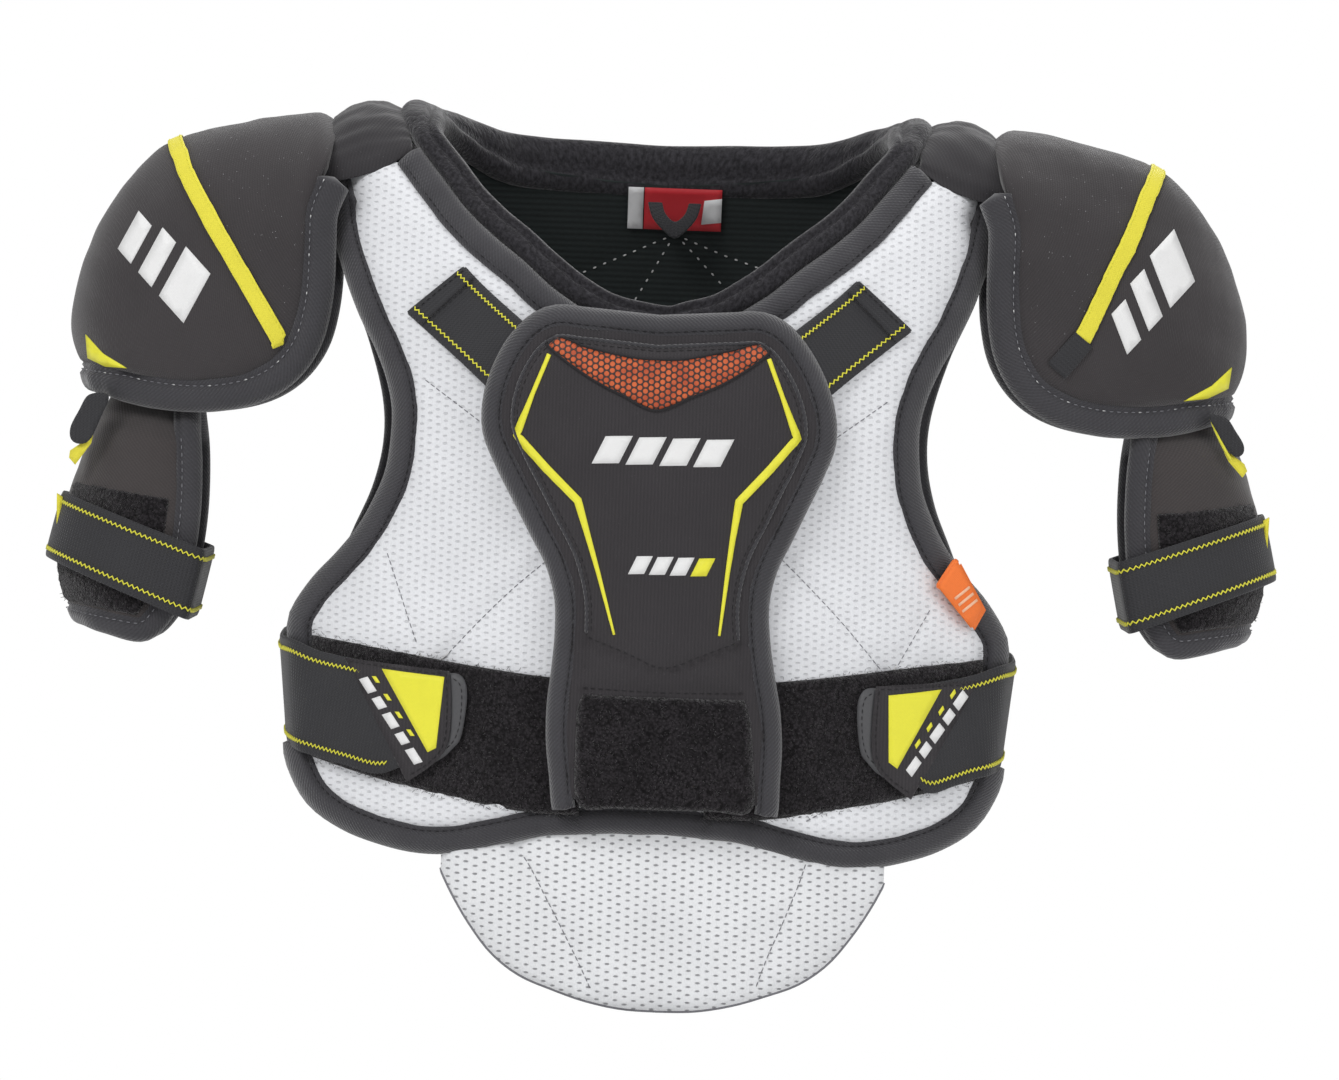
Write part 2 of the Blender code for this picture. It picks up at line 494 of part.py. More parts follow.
# ---------------------------------------------------------------- shoulder caps and arm guards
for side, tag in ((-1, "left"), (1, "right")):
    cap_parent = joint_empty("cap_hinge_" + tag, (side * 128.0, 0.0, 15.0 + CAP_REST[side]))
    cap = Dome(CAP_RIM, CAP_TOP, lambda u: CAP_DEPTH + (CAP_DEPTH_END - CAP_DEPTH) * u ** 2.2, side, (0, CAP_REST[side]))
    us, phis = steps(0, 1, 11), steps(0, math.pi, 13)
    cap.layer("cap_cover_" + tag, 0, -1.2, CHARCOAL, cap_parent, us, phis)
    cap.layer("cap_shell_" + tag, -1.7, -3.7, PLASTIC, cap_parent, us, phis)
    cap.layer("cap_foam_" + tag, -4.3, -9.0, FOAM, cap_parent, us, phis)
    inner, outer = cap.rim(10, 12, -4.5)
    strip("cap_binding_" + tag, inner, outer, BINDING_T, FLEECE, cap_parent, sides=6)

    def cap_point(x, z, lift):
        """The point of the cap's front face over (x, z)."""
        best = min(((u / 60, phi / 40 * math.pi / 2) for u in range(61) for phi in range(41)),
                   key=lambda q: (cap.base(*q).x - x) ** 2 + (cap.base(*q).z - z) ** 2)
        return cap.at(best[0], best[1], lift)

    line = [(-191.5, 0.5), (-185, -14), (-177.5, -31), (-167, -50), (-154, -71)]
    line = catmull([(-side * x, z + CAP_REST[side]) for x, z in line], 12)
    a, b = shifted(line, 3.0), shifted(line, -3.0)
    strip("cap_stripe_" + tag, [cap_point(x, z, 1.7) for x, z in a], [cap_point(x, z, 1.7) for x, z in b], 0.35, YELLOW, cap_parent, sides=4)

    shift = ARM_REST[side]
    sx = lambda x: -side * x + side * shift[0]
    arm_parent = joint_empty("arm_hinge_" + tag, (sx(-225.0), 0.0, -101.5 + shift[1]), cap_parent)
    arm = Dome(ARM_EDGE, ARM_SIDE, lambda u: ARM_DEPTH - 3 * u, side, shift)
    phis = steps(0, math.pi, 11)
    arm.layer("arm_cover_" + tag, 0, -1.2, CHARCOAL, arm_parent, steps(0, 1, 8), phis)
    arm.layer("arm_foam_" + tag, -2.0, -7.4, FOAM, arm_parent, steps(0, 1, 8), phis)
    inner, outer = arm.rim(7, 10, -3.9)
    strip("arm_binding_" + tag, [p for p in inner], [p + (q - p) * 0.82 for p, q in zip(inner, outer)], 4.6, FLEECE, arm_parent, sides=6)
    arm.layer("arm_loop_patch_" + tag, 1.6, 0.5, LOOP, arm_parent, steps(0.36, 0.95, 6), [math.radians(d) for d in (6, 22, 38, 54, 70)])

    def band_edges(path):
        """Points of both edges of the arm band; s runs from the inner side of the arm to the outer side."""
        out = []
        for inner_end, outer_end in (BAND_TOP, BAND_LOW):
            out.append([(sx(inner_end[0] + (outer_end[0] - inner_end[0]) * s), y, inner_end[1] + (outer_end[1] - inner_end[1]) * s + shift[1]) for s, y in path])
        return out

    depth = ARM_DEPTH + 3.4
    front = [(0.0, -depth)] + [(0.13 + 0.87 * math.sin(p) ** 0.97, -depth * math.cos(p) ** 0.9) for p in steps(0.08, 1.32, 9)]
    rear = [(0.0, -depth + 1.6), (0.0, -20), (0.0, 0), (0.0, 20), (0.0, depth - 2.5), (0.03, depth)] + [(0.13 + 0.87 * math.sin(p) ** 0.97, depth * math.cos(p) ** 0.9) for p in steps(0.08, 1.2, 7)]
    corner = (sx((BAND_TOP[0][0] + BAND_LOW[0][0]) / 2), -depth - BAND_T / 2, (BAND_TOP[0][1] + BAND_LOW[0][1]) / 2 + shift[1])
    band_parent = joint_empty("arm_band_hinge_" + tag, corner, arm_parent)
    a, b = band_edges(front)
    strip("arm_band_end_" + tag, a, b, BAND_T / 2, ELASTIC, band_parent, sides=4)
    a, b = band_edges(rear)
    strip("arm_band_" + tag, a, b, BAND_T / 2, ELASTIC, arm_parent, sides=4)

    pull = [(-214.5, -108), (-222, -106.5), (-227.5, -112), (-232.5, -120), (-226, -124), (-218.5, -115.5)]
    panel("arm_pull_tab_" + tag, [(sx(x), z + shift[1]) for x, z in pull], lambda x, z: -33.0 + 0.62 * (abs(x) + shift[0] * 0 - 214), 0, 1.6, 9, ELASTIC, arm_parent)

    hang_line = [(-213.5, -60), (-211, -76), (-208.5, -90), (-208.5, -102), (-213, -116), (-220, -132)]
    path = catmull([(sx(x) if k > 2 else -side * x, z + shift[1]) for k, (x, z) in enumerate(hang_line)], 7)
    strip("arm_hanger_" + tag, [(x, -12, z) for x, z in path], [(x, 12, z) for x, z in path], 0.8, ELASTIC, cap_parent, sides=4)
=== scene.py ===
"""Youth ice-hockey shoulder pads: the looks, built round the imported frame. Profiles are in millimetres."""

import math
import random

import bmesh
import bpy
import numpy as np
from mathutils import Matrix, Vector
from mathutils.bvhtree import BVHTree
from mathutils.geometry import delaunay_2d_cdt


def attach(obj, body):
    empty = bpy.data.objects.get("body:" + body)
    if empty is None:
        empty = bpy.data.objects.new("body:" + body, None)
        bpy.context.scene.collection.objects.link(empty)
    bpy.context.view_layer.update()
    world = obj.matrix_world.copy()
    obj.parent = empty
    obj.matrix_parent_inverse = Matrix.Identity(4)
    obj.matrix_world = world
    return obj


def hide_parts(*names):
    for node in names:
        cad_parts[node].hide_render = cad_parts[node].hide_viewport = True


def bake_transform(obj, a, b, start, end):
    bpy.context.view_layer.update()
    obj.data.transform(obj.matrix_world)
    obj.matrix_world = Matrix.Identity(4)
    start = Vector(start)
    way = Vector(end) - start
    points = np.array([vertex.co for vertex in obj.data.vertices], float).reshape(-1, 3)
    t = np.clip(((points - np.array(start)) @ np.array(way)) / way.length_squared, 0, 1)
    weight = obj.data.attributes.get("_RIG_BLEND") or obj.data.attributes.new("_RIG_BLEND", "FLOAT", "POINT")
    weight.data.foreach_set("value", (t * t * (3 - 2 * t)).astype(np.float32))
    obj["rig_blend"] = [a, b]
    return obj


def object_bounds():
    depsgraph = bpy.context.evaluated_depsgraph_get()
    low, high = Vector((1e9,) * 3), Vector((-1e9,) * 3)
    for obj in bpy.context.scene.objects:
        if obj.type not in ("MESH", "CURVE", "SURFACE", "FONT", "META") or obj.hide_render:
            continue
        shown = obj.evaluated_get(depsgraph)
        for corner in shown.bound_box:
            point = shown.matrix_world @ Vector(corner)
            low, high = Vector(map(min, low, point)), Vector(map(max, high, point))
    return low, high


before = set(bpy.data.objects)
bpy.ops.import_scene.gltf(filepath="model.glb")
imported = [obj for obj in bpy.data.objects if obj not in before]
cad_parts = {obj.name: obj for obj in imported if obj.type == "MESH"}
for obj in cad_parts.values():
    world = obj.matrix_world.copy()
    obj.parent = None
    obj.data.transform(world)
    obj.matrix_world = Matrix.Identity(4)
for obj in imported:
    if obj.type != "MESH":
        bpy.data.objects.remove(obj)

cad_low, cad_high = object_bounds()
CAD_BOX = [list(cad_low), list(cad_high)]
MM = 0.001

# ---------------------------------------------------------------- the frame's profiles
CAP_TOP = [(-128, 12.5), (-140, 13), (-154, 11), (-168, 8), (-181, 5), (-194, 0), (-204, -9), (-213, -20), (-220, -32), (-225, -45), (-228, -58), (-228.5, -72), (-226, -86)]
CAP_RIM = [(-134, -10), (-138.5, -22), (-139, -35), (-139, -48), (-140, -60), (-143, -72), (-150, -82), (-160, -88), (-173, -91), (-185, -91.5), (-198, -90.5), (-208, -88.5)]
ARM_EDGE = [(-191, -109.5), (-190, -122), (-190, -140), (-192, -158), (-196, -173), (-203, -183.5)]
ARM_SIDE = [(-223, -106.5), (-228, -118), (-233, -134), (-237, -150), (-237.5, -165), (-233, -178)]
BAND_TOP = ((-179.6, -154), (-236.6, -134))
BAND_LOW = ((-185.6, -182), (-242.6, -160))
ARMHOLE = [(-120, -20), (-120.5, -31), (-115, -47), (-109, -61), (-102.5, -73), (-97, -86), (-94, -99), (-94, -113), (-96, -127), (-101, -140), (-107.5, -152), (-116, -163), (-125, -173), (-132, -184)]
SIDE_EDGE = [(-132, -184), (-131.5, -212), (-130.5, -238)]
HEM = [(-130.5, -238), (-124, -249), (-113, -256), (-101, -260), (-88, -262.5), (-76, -262.5), (-63, -260), (-51, -257), (-38, -254), (-26, -253), (-13, -252), (0, -252)]
NECK = [(0, -78), (-24, -73.5), (-46, -61), (-59, -50), (-72, -40), (-84, -29), (-94, -17), (-104, -4.5)]
CHEST_TOP = [(-104, -4.5), (-112.6, -11), (-120, -20)]
STERNUM = [(0, -67), (-14, -66), (-28, -65), (-40, -64.5), (-49, -70), (-56.5, -81), (-61, -93), (-62, -106), (-57.5, -118), (-51, -131), (-45, -143), (-38.5, -156), (-35, -170), (-35, -184), (-36.5, -198), (-38.5, -212), (-39, -226), (-38, -239), (-37.5, -248)]
BELLY = [(0, -329), (-14, -328.5), (-28, -326), (-41, -322), (-54, -317), (-65, -309), (-74, -298), (-81, -287), (-86, -277.5)]
BELLY_TOP = [(-86, -265), (-75, -264), (-63, -262.5), (-50, -260), (-38, -257.5), (-25, -256), (-13, -255.5), (0, -255.5)]
BACK_ARMHOLE = [(-120, -20), (-118, -45), (-108, -70), (-101, -95), (-100, -115), (-104, -135), (-112, -155), (-117, -170)]
BACK_SIDE = [(-117, -170), (-118.5, -200), (-116, -228)]
BACK_LOW = [(-116, -228), (-98, -240), (-60, -247), (-25, -250), (0, -250)]
BACK_TOP = [(0, -19), (-30, -18), (-55, -17), (-74, -15), (-90, -11), (-104, -8), (-113, -12), (-120, -20)]


def sway(points):
    """The guard and the flap hang a little to one side towards their low end."""
    p = np.array(points, float)
    p[:, 0] += 9.0 * np.clip((-75 - p[:, 1]) / 175, 0, 1)
    return p


ARM_REST = {-1: (-4.0, -4.0), 1: (4.0, 4.0)}
CAP_REST = {-1: -1.5, 1: 1.5}


# ---------------------------------------------------------------- curves
def front_y(x, z):
    return -98 + 50.0 * (np.abs(x) / 142.0) ** 2.3 + 30 * np.maximum(0, (z + 100) / 100) ** 2


def back_y(x, z):
    return 88 - 42.0 * (np.abs(x) / 140.0) ** 2.3 - 30 * np.maximum(0, (z + 80) / 80) ** 2


def catmull(points, count, closed=False):
    """The smooth curve through points, at count places an equal distance apart, as an array."""
    p = np.array(points, float)
    n = len(p)
    t = np.linspace(0, 1, 16, endpoint=False)[:, None]
    dense = []
    for i in range(n if closed else n - 1):
        a, b, c, d = [p[(i + k) % n] if closed else p[min(max(i + k, 0), n - 1)] for k in (-1, 0, 1, 2)]
        dense.append(0.5 * (2 * b + (c - a) * t + (2 * a - 5 * b + 4 * c - d) * t * t + (3 * b - a - 3 * c + d) * t ** 3))
    dense = np.vstack(dense + [p[:1] if closed else p[-1:]])
    dist = np.concatenate([[0], np.cumsum(np.linalg.norm(np.diff(dense, axis=0), axis=1))])
    want = np.linspace(0, dist[-1], count + 1)[:-1] if closed else np.linspace(0, dist[-1], count)
    return np.stack([np.interp(want, dist, dense[:, k]) for k in range(dense.shape[1])], 1)


def length_of(points):
    return float(np.linalg.norm(np.diff(np.array(points, float), axis=0), axis=1).sum())


def run(points, spacing):
    return catmull(points, max(2, round(length_of(points) / spacing) + 1))


def flip(points):
    out = np.array(points, float)[::-1].copy()
    out[:, 0] *= -1
    return out


def chain(*runs):
    out = []
    for points in runs:
        for p in np.array(points, float):
            if not out or np.linalg.norm(out[-1] - p) > 0.05:
                out.append(p)
    if np.linalg.norm(out[0] - out[-1]) < 0.05:
        out.pop()
    return np.array(out)


def shifted(points, distance):
    """A flat polyline moved to its left by a distance, or by one distance for each point."""
    p = np.array(points, float)
    d = np.empty_like(p)
    d[1:-1] = p[2:] - p[:-2]
    d[0], d[-1] = p[1] - p[0], p[-1] - p[-2]
    d /= np.linalg.norm(d, axis=1)[:, None]
    return p + np.stack([-d[:, 1], d[:, 0]], 1) * np.reshape(distance, (-1, 1))


def inside(pts, loop):
    hit = np.zeros(len(pts), bool)
    for a, b in zip(loop, np.roll(loop, -1, axis=0)):
        cross = (a[1] > pts[:, 1]) != (b[1] > pts[:, 1])
        if abs(b[1] - a[1]) > 1e-12:
            hit ^= cross & (pts[:, 0] < a[0] + (pts[:, 1] - a[1]) * (b[0] - a[0]) / (b[1] - a[1]))
    return hit


def distance(pts, line, closed=False):
    """(distance, place along) from each point to a polyline."""
    pts, line = np.asarray(pts, float), np.asarray(line, float)
    best = np.full(len(pts), 1e9)
    along = np.zeros(len(pts))
    ends = np.roll(line, -1, axis=0) if closed else line[1:]
    gone = 0.0
    for a, b in zip(line, ends):
        d = b - a
        size = float(np.hypot(*d))
        if size < 1e-9:
            continue
        t = np.clip(((pts - a) @ d) / size ** 2, 0, 1)
        far = np.hypot(*(pts - a - t[:, None] * d).T)
        near = far < best
        best = np.where(near, far, best)
        along = np.where(near, gone + t * size, along)
        gone += size
    return best, along


def soft_noise(p, size, seed=0, octaves=2):
    """Smooth, repeatable unevenness between about -1 and 1 over 2-D or 3-D places, in cells of a size."""
    rng = np.random.RandomState(1000 + seed)
    p = np.asarray(p, float)
    total = np.zeros(len(p))
    for o in range(octaves * 4):
        way = rng.normal(size=p.shape[1])
        way *= 2 * math.pi / (size * (0.75 if o % 2 else 1.3) / (1 + o // 4)) / np.linalg.norm(way)
        total += np.sin(p @ way + rng.uniform(0, 6.3)) / (1 + o // 4)
    return total / (2.2 * octaves ** 0.5)


# ---------------------------------------------------------------- meshes
PIECES = {}


def make(name, points, faces, mats, corner_uv=None, mat_of=None, body=None, parent=None, smooth=True):
    """points in millimetres; corner_uv is one (u, v) for each face corner, in millimetres."""
    points = np.asarray(points, float)
    mesh = bpy.data.meshes.new(name)
    mesh.from_pydata((points * MM).tolist(), [], [tuple(int(i) for i in f) for f in faces])
    for m in (mats if isinstance(mats, (list, tuple)) else [mats]):
        mesh.materials.append(m)
    if mat_of is not None:
        mesh.polygons.foreach_set("material_index", np.asarray(mat_of, np.int32))
    layer = mesh.uv_layers.new(name="fab")
    if corner_uv is None:
        order = np.empty(len(mesh.loops), np.int32)
        mesh.loops.foreach_get("vertex_index", order)
        corner_uv = points[order][:, [0, 2]]
    layer.uv.foreach_set("vector", np.asarray(corner_uv, np.float32).ravel())
    if smooth:
        mesh.shade_smooth()
    mesh.update()
    obj = bpy.data.objects.new(name, mesh)
    bpy.context.scene.collection.objects.link(obj)
    if parent is not None:
        obj.parent = parent
    elif body:
        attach(obj, body)
    PIECES[name] = obj
    return obj


def skin_of(*objs):
    """A surface that other things are laid on, read from finished meshes at rest, in millimetres."""
    points, faces = [], []
    for o in objs:
        base = len(points)
        points += [v.co / MM for v in o.data.vertices]
        faces += [tuple(i + base for i in p.vertices) for p in o.data.polygons]
    return BVHTree.FromPolygons(points, faces)


def front_hit(tree, x, z, start=-300, way=1):
    place, normal, _, _ = tree.ray_cast(Vector((x, start, z)), Vector((0, way, 0)))
    return place, normal


def lay(tree, flat, lift, start=-300, way=1):
    """Flat (x, z) points dropped onto a surface along y, and lifted off it along its normal."""
    out, last = [], None
    for x, z in flat:
        place, normal = front_hit(tree, x, z, start, way)
        if place is None:
            place, normal, _, _ = tree.find_nearest(Vector((x, last.y if last else start * 0.2, z)))
        if normal.y * way > 0:
            normal = -normal
        last = place
        out.append(place + normal * lift)
    return np.array(out)


def surface_points(loop, pitch, margin=0.5, extra=None):
    """Points for a flat outline: the outline first, then a staggered grid inside it. The extra argument is not used."""
    loop = np.asarray(loop, float)
    xs = np.arange(loop[:, 0].min(), loop[:, 0].max(), pitch)
    zs = np.arange(loop[:, 1].min() + pitch * 0.4, loop[:, 1].max(), pitch * 0.87)
    grid = np.array([(x + pitch * (0.25 + 0.5 * (k % 2)), z) for k, z in enumerate(zs) for x in xs])
    grid = grid[inside(grid, loop)]
    grid = grid[distance(grid, loop, True)[0] > pitch * margin]
    return np.vstack([loop, grid])


def flat_mesh(loop, pitch, margin=0.5):
    points = surface_points(loop, pitch, margin)
    n = len(loop)
    flat, _, tris, _, _, _ = delaunay_2d_cdt([Vector(p) for p in points], [(i, (i + 1) % n) for i in range(n)], [list(range(n))], 1, 1e-4)
    flat = np.array([(p.x, p.y) for p in flat])
    return flat, [tuple(t) for t in tris]


def slab(name, flat, tris, front, back, mats, body=None, parent=None, uv=None):
    """A closed piece between two sets of 3-D points over the same flat mesh. mats: front, back, side."""
    count = len(flat)
    points = np.vstack([front, back])
    faces, which, used = [], [], {}
    for t in tris:
        faces.append(t)
        which.append(0)
        faces.append(tuple(i + count for i in reversed(t)))
        which.append(1)
        for a, b in zip(t, t[1:] + t[:1]):
            used[(a, b)] = True
    for a, b in used:
        if (b, a) not in used:
            faces.append((b, a, a + count, b + count))
            which.append(2)
    mats = list(mats) if isinstance(mats, (list, tuple)) else [mats]
    which = np.minimum(np.array(which), len(mats) - 1)
    both = np.vstack([flat, flat]) if uv is None else np.vstack([uv, uv])
    corner = np.array([both[i] for f in faces for i in f])
    # The front faces towards -y.
    a, b, c = (points[tris[0][k]] for k in range(3))
    obj = make(name, points, faces, mats, corner, which, body, parent)
    work = bmesh.new()
    work.from_mesh(obj.data)
    bmesh.ops.recalc_face_normals(work, faces=work.faces)
    work.to_mesh(obj.data)
    work.free()
    return obj


def rounded(count, ex, ey):
    """Corners (across, up) of a rounded cross-section; small powers are squarer."""
    out = []
    for k in range(count):
        a = 2 * math.pi * (k + 0.5) / count
        c, s = math.cos(a), math.sin(a)
        out.append((math.copysign(abs(c) ** ex, c), math.copysign(abs(s) ** ey, s)))
    return np.array(out)


def frames(A, B, ring=False, up=None):
    """Middle, half-width vector and unit normal at each place of a strip between two edges."""
    A, B = np.asarray(A, float), np.asarray(B, float)
    mid, wide = (A + B) / 2, (B - A) / 2
    if ring:
        along = np.roll(mid, -1, axis=0) - np.roll(mid, 1, axis=0)
    else:
        along = np.gradient(mid, axis=0)
    along /= np.linalg.norm(along, axis=1)[:, None]
    normal = np.cross(along, wide)
    normal /= np.linalg.norm(normal, axis=1)[:, None]
    if up is not None:
        normal = np.tile(np.array(up, float), (len(mid), 1))
    return mid, wide, normal, along


def strip(name, A, B, half, mat, body=None, parent=None, ring=False, profile=None, up=None, bend=None, nose=0.35):
    """A closed strip between two edges. half is one half-thickness or one for each place; bend(i, across, up) may add to it."""
    mid, wide, normal, along = frames(A, B, ring, up)
    n = len(mid)
    shape = rounded(18, 0.3, 0.6) if profile is None else profile
    k = len(shape)
    half = np.broadcast_to(np.asarray(half, float), (n,))
    ups = shape[None, :, 1] * half[:, None]
    acr = np.tile(shape[:, 0], (n, 1))
    if bend is not None:
        ups = bend(np.arange(n)[:, None] * np.ones((1, k)), acr, ups)
    points = mid[:, None] + wide[:, None] * acr[..., None] + normal[:, None] * ups[..., None]
    steps_u = np.concatenate([[0], np.cumsum(np.linalg.norm(np.diff(mid, axis=0), axis=1))])
    closing = float(np.linalg.norm(mid[0] - mid[-1]))
    round_v = np.concatenate([[0], np.cumsum(np.linalg.norm(np.roll(shape, -1, axis=0) * [np.linalg.norm(wide[0]), half[0]] - shape * [np.linalg.norm(wide[0]), half[0]], axis=1))])
    faces, corner = [], []
    for i in range(n if ring else n - 1):
        j = (i + 1) % n
        u0, u1 = steps_u[i], (steps_u[j] if j else steps_u[-1] + closing)
        for a in range(k):
            b = (a + 1) % k
            faces.append((i * k + a, j * k + a, j * k + b, i * k + b))
            corner += [(u0, round_v[a]), (u1, round_v[a]), (u1, round_v[a + 1]), (u0, round_v[a + 1])]
    points = points.reshape(-1, 3)
    if not ring:
        for i, order in ((0, 1), (n - 1, -1)):
            loop = [i * k + a for a in range(k)][::order]
            # The end closes on a small crown, so that it is rounded.
            crown = mid[i] + along[i] * (-1 if i == 0 else 1) * half[i] * nose
            points = np.vstack([points, crown])
            tip = len(points) - 1
            for a, b in zip(loop, loop[1:] + loop[:1]):
                faces.append((a, b, tip))
                corner += [(steps_u[i], 0), (steps_u[i], 1), (steps_u[i], 0.5)]
    obj = make(name, points, faces, mat, np.array(corner), None, body, parent)
    work = bmesh.new()
    work.from_mesh(obj.data)
    bmesh.ops.recalc_face_normals(work, faces=work.faces)
    work.to_mesh(obj.data)
    work.free()
    return obj


def on_strip(A, B, t, s, lift, ring=False, up=None):
    """Points on a strip: t from 0 to 1 along, s from -1 to 1 across, lifted off its middle."""
    mid, wide, normal, _ = frames(A, B, ring, up)
    at = np.asarray(t, float) * (len(mid) - 1)
    read = lambda line: np.stack([np.interp(at, np.arange(len(mid)), line[:, k]) for k in range(3)], 1)
    return read(mid) + read(wide) * np.reshape(s, (-1, 1)) + read(normal) * np.reshape(lift, (-1, 1))


def tubes(name, lines, radius, mat, body=None, parent=None, sides=5):
    """Thread: each line becomes a thin round tube with closed ends, all in one piece."""
    points, faces, corner = [], [], []
    for line in lines:
        line = np.asarray(line, float)
        n = len(line)
        if n < 2:
            continue
        along = np.gradient(line, axis=0)
        along /= np.maximum(np.linalg.norm(along, axis=1)[:, None], 1e-9)
        ref = np.array([0.0, -1.0, 0.0])
        side = np.cross(along, ref)
        bad = np.linalg.norm(side, axis=1) < 0.2
        side[bad] = np.cross(along[bad], [1.0, 0, 0])
        side /= np.linalg.norm(side, axis=1)[:, None]
        upw = np.cross(side, along)
        base = len(points)
        for i in range(n):
            r = radius * (0.6 if i in (0, n - 1) else 1.0)
            for k in range(sides):
                a = 2 * math.pi * k / sides
                points.append(line[i] + side[i] * r * math.cos(a) + upw[i] * r * math.sin(a))
        for i in range(n - 1):
            for k in range(sides):
                m = (k + 1) % sides
                faces.append((base + i * sides + k, base + i * sides + m, base + (i + 1) * sides + m, base + (i + 1) * sides + k))
                corner += [(i, k), (i, k + 1), (i + 1, k + 1), (i + 1, k)]
        faces.append(tuple(base + k for k in reversed(range(sides))))
        faces.append(tuple(base + (n - 1) * sides + k for k in range(sides)))
        corner += [(0, 0)] * sides + [(n, 0)] * sides
    return make(name, points, faces, mat, np.array(corner, float), None, body, parent)


def zigzag_t(length, pitch, amplitude):
    """(place along in mm, side step in mm) of a zigzag stitch."""
    count = max(2, int(round(length / pitch)) * 2)
    u = np.linspace(0, length, count + 1)
    return u, amplitude * (np.arange(count + 1) % 2 * 2 - 1)


def dash_lines(points, dash, gap, wobble=0.0):
    """Short pieces of a 3-D line: a row of stitches."""
    points = np.asarray(points, float)
    dist = np.concatenate([[0], np.cumsum(np.linalg.norm(np.diff(points, axis=0), axis=1))])
    out, at = [], 0.0
    while at + dash < dist[-1]:
        u = np.linspace(at, at + dash, 4)
        out.append(np.stack([np.interp(u, dist, points[:, k]) for k in range(3)], 1))
        at += dash + gap
    return out


# ---------------------------------------------------------------- materials
class Look:
    """A Principled material built from nodes. Weaves read the piece's own "fab" map, which is in millimetres."""

    def __init__(self, name, rough=0.85, sheen=0.0, sheen_rough=0.5, spec=0.3, metallic=0.0, coat=0.0):
        self.mat = bpy.data.materials.new(name)
        self.mat.use_nodes = True
        self.tree = self.mat.node_tree
        self.shader = self.tree.nodes["Principled BSDF"]
        self.shader.inputs["Roughness"].default_value = rough
        self.shader.inputs["Sheen Weight"].default_value = sheen
        self.shader.inputs["Sheen Roughness"].default_value = sheen_rough
        self.shader.inputs["Specular IOR Level"].default_value = spec
        self.shader.inputs["Metallic"].default_value = metallic
        self.shader.inputs["Coat Weight"].default_value = coat
        uv = self.tree.nodes.new("ShaderNodeUVMap")
        uv.uv_map = "fab"
        split = self.tree.nodes.new("ShaderNodeSeparateXYZ")
        self.tree.links.new(uv.outputs[0], split.inputs[0])
        self.uv, self.u, self.v = uv.outputs[0], split.outputs[0], split.outputs[1]
        place = self.tree.nodes.new("ShaderNodeTexCoord")
        self.place = place.outputs["Object"]

    def put(self, socket, value):
        if isinstance(value, bpy.types.NodeSocket):
            self.tree.links.new(value, socket)
        elif value is not None:
            socket.default_value = value

    def math(self, op, a, b=None, c=None, clamp=False):
        node = self.tree.nodes.new("ShaderNodeMath")
        node.operation, node.use_clamp = op, clamp
        for socket, value in zip(node.inputs, (a, b, c)):
            self.put(socket, value)
        return node.outputs[0]

    def step(self, value, low, high, to_low=0.0, to_high=1.0):
        node = self.tree.nodes.new("ShaderNodeMapRange")
        node.interpolation_type = "SMOOTHSTEP"
        for socket, v in zip(node.inputs, (value, low, high, to_low, to_high)):
            self.put(socket, v)
        return node.outputs[0]

    def wave(self, value, pitch, phase=0.0):
        """A cosine along value, of one pitch."""
        return self.math("COSINE", self.math("MULTIPLY_ADD", value, 2 * math.pi / pitch, phase))

    def noise(self, vector, size, detail=2.0, rough=0.5, stretch=None):
        if stretch is not None:
            node = self.tree.nodes.new("ShaderNodeMapping")
            self.put(node.inputs["Vector"], vector)
            node.inputs["Scale"].default_value = stretch
            vector = node.outputs[0]
        node = self.tree.nodes.new("ShaderNodeTexNoise")
        self.put(node.inputs["Vector"], vector)
        node.inputs["Scale"].default_value = 1 / size
        node.inputs["Detail"].default_value = detail
        node.inputs["Roughness"].default_value = rough
        return node.outputs["Fac"]

    def cells(self, vector, size, out="Distance", feature="F1"):
        node = self.tree.nodes.new("ShaderNodeTexVoronoi")
        node.feature = feature
        self.put(node.inputs["Vector"], vector)
        node.inputs["Scale"].default_value = 1 / size
        return node.outputs[out]

    def mix(self, fac, a, b):
        node = self.tree.nodes.new("ShaderNodeMix")
        node.data_type = "RGBA"
        self.put(node.inputs[0], fac)
        for socket, value in ((node.inputs[6], a), (node.inputs[7], b)):
            self.put(socket, (*value, 1) if isinstance(value, tuple) and len(value) == 3 else value)
        return node.outputs[2]

    def colour(self, value):
        self.put(self.shader.inputs["Base Color"], (*value, 1) if isinstance(value, tuple) and len(value) == 3 else value)

    def bump(self, height, depth_mm, strength=1.0):
        """height from 0 to 1, over a depth in millimetres."""
        node = self.tree.nodes.new("ShaderNodeBump")
        node.inputs["Strength"].default_value = strength
        node.inputs["Distance"].default_value = depth_mm * MM
        self.put(node.inputs["Height"], height)
        self.put(self.shader.inputs["Normal"], node.outputs[0])

    def rough(self, value):
        self.put(self.shader.inputs["Roughness"], value)


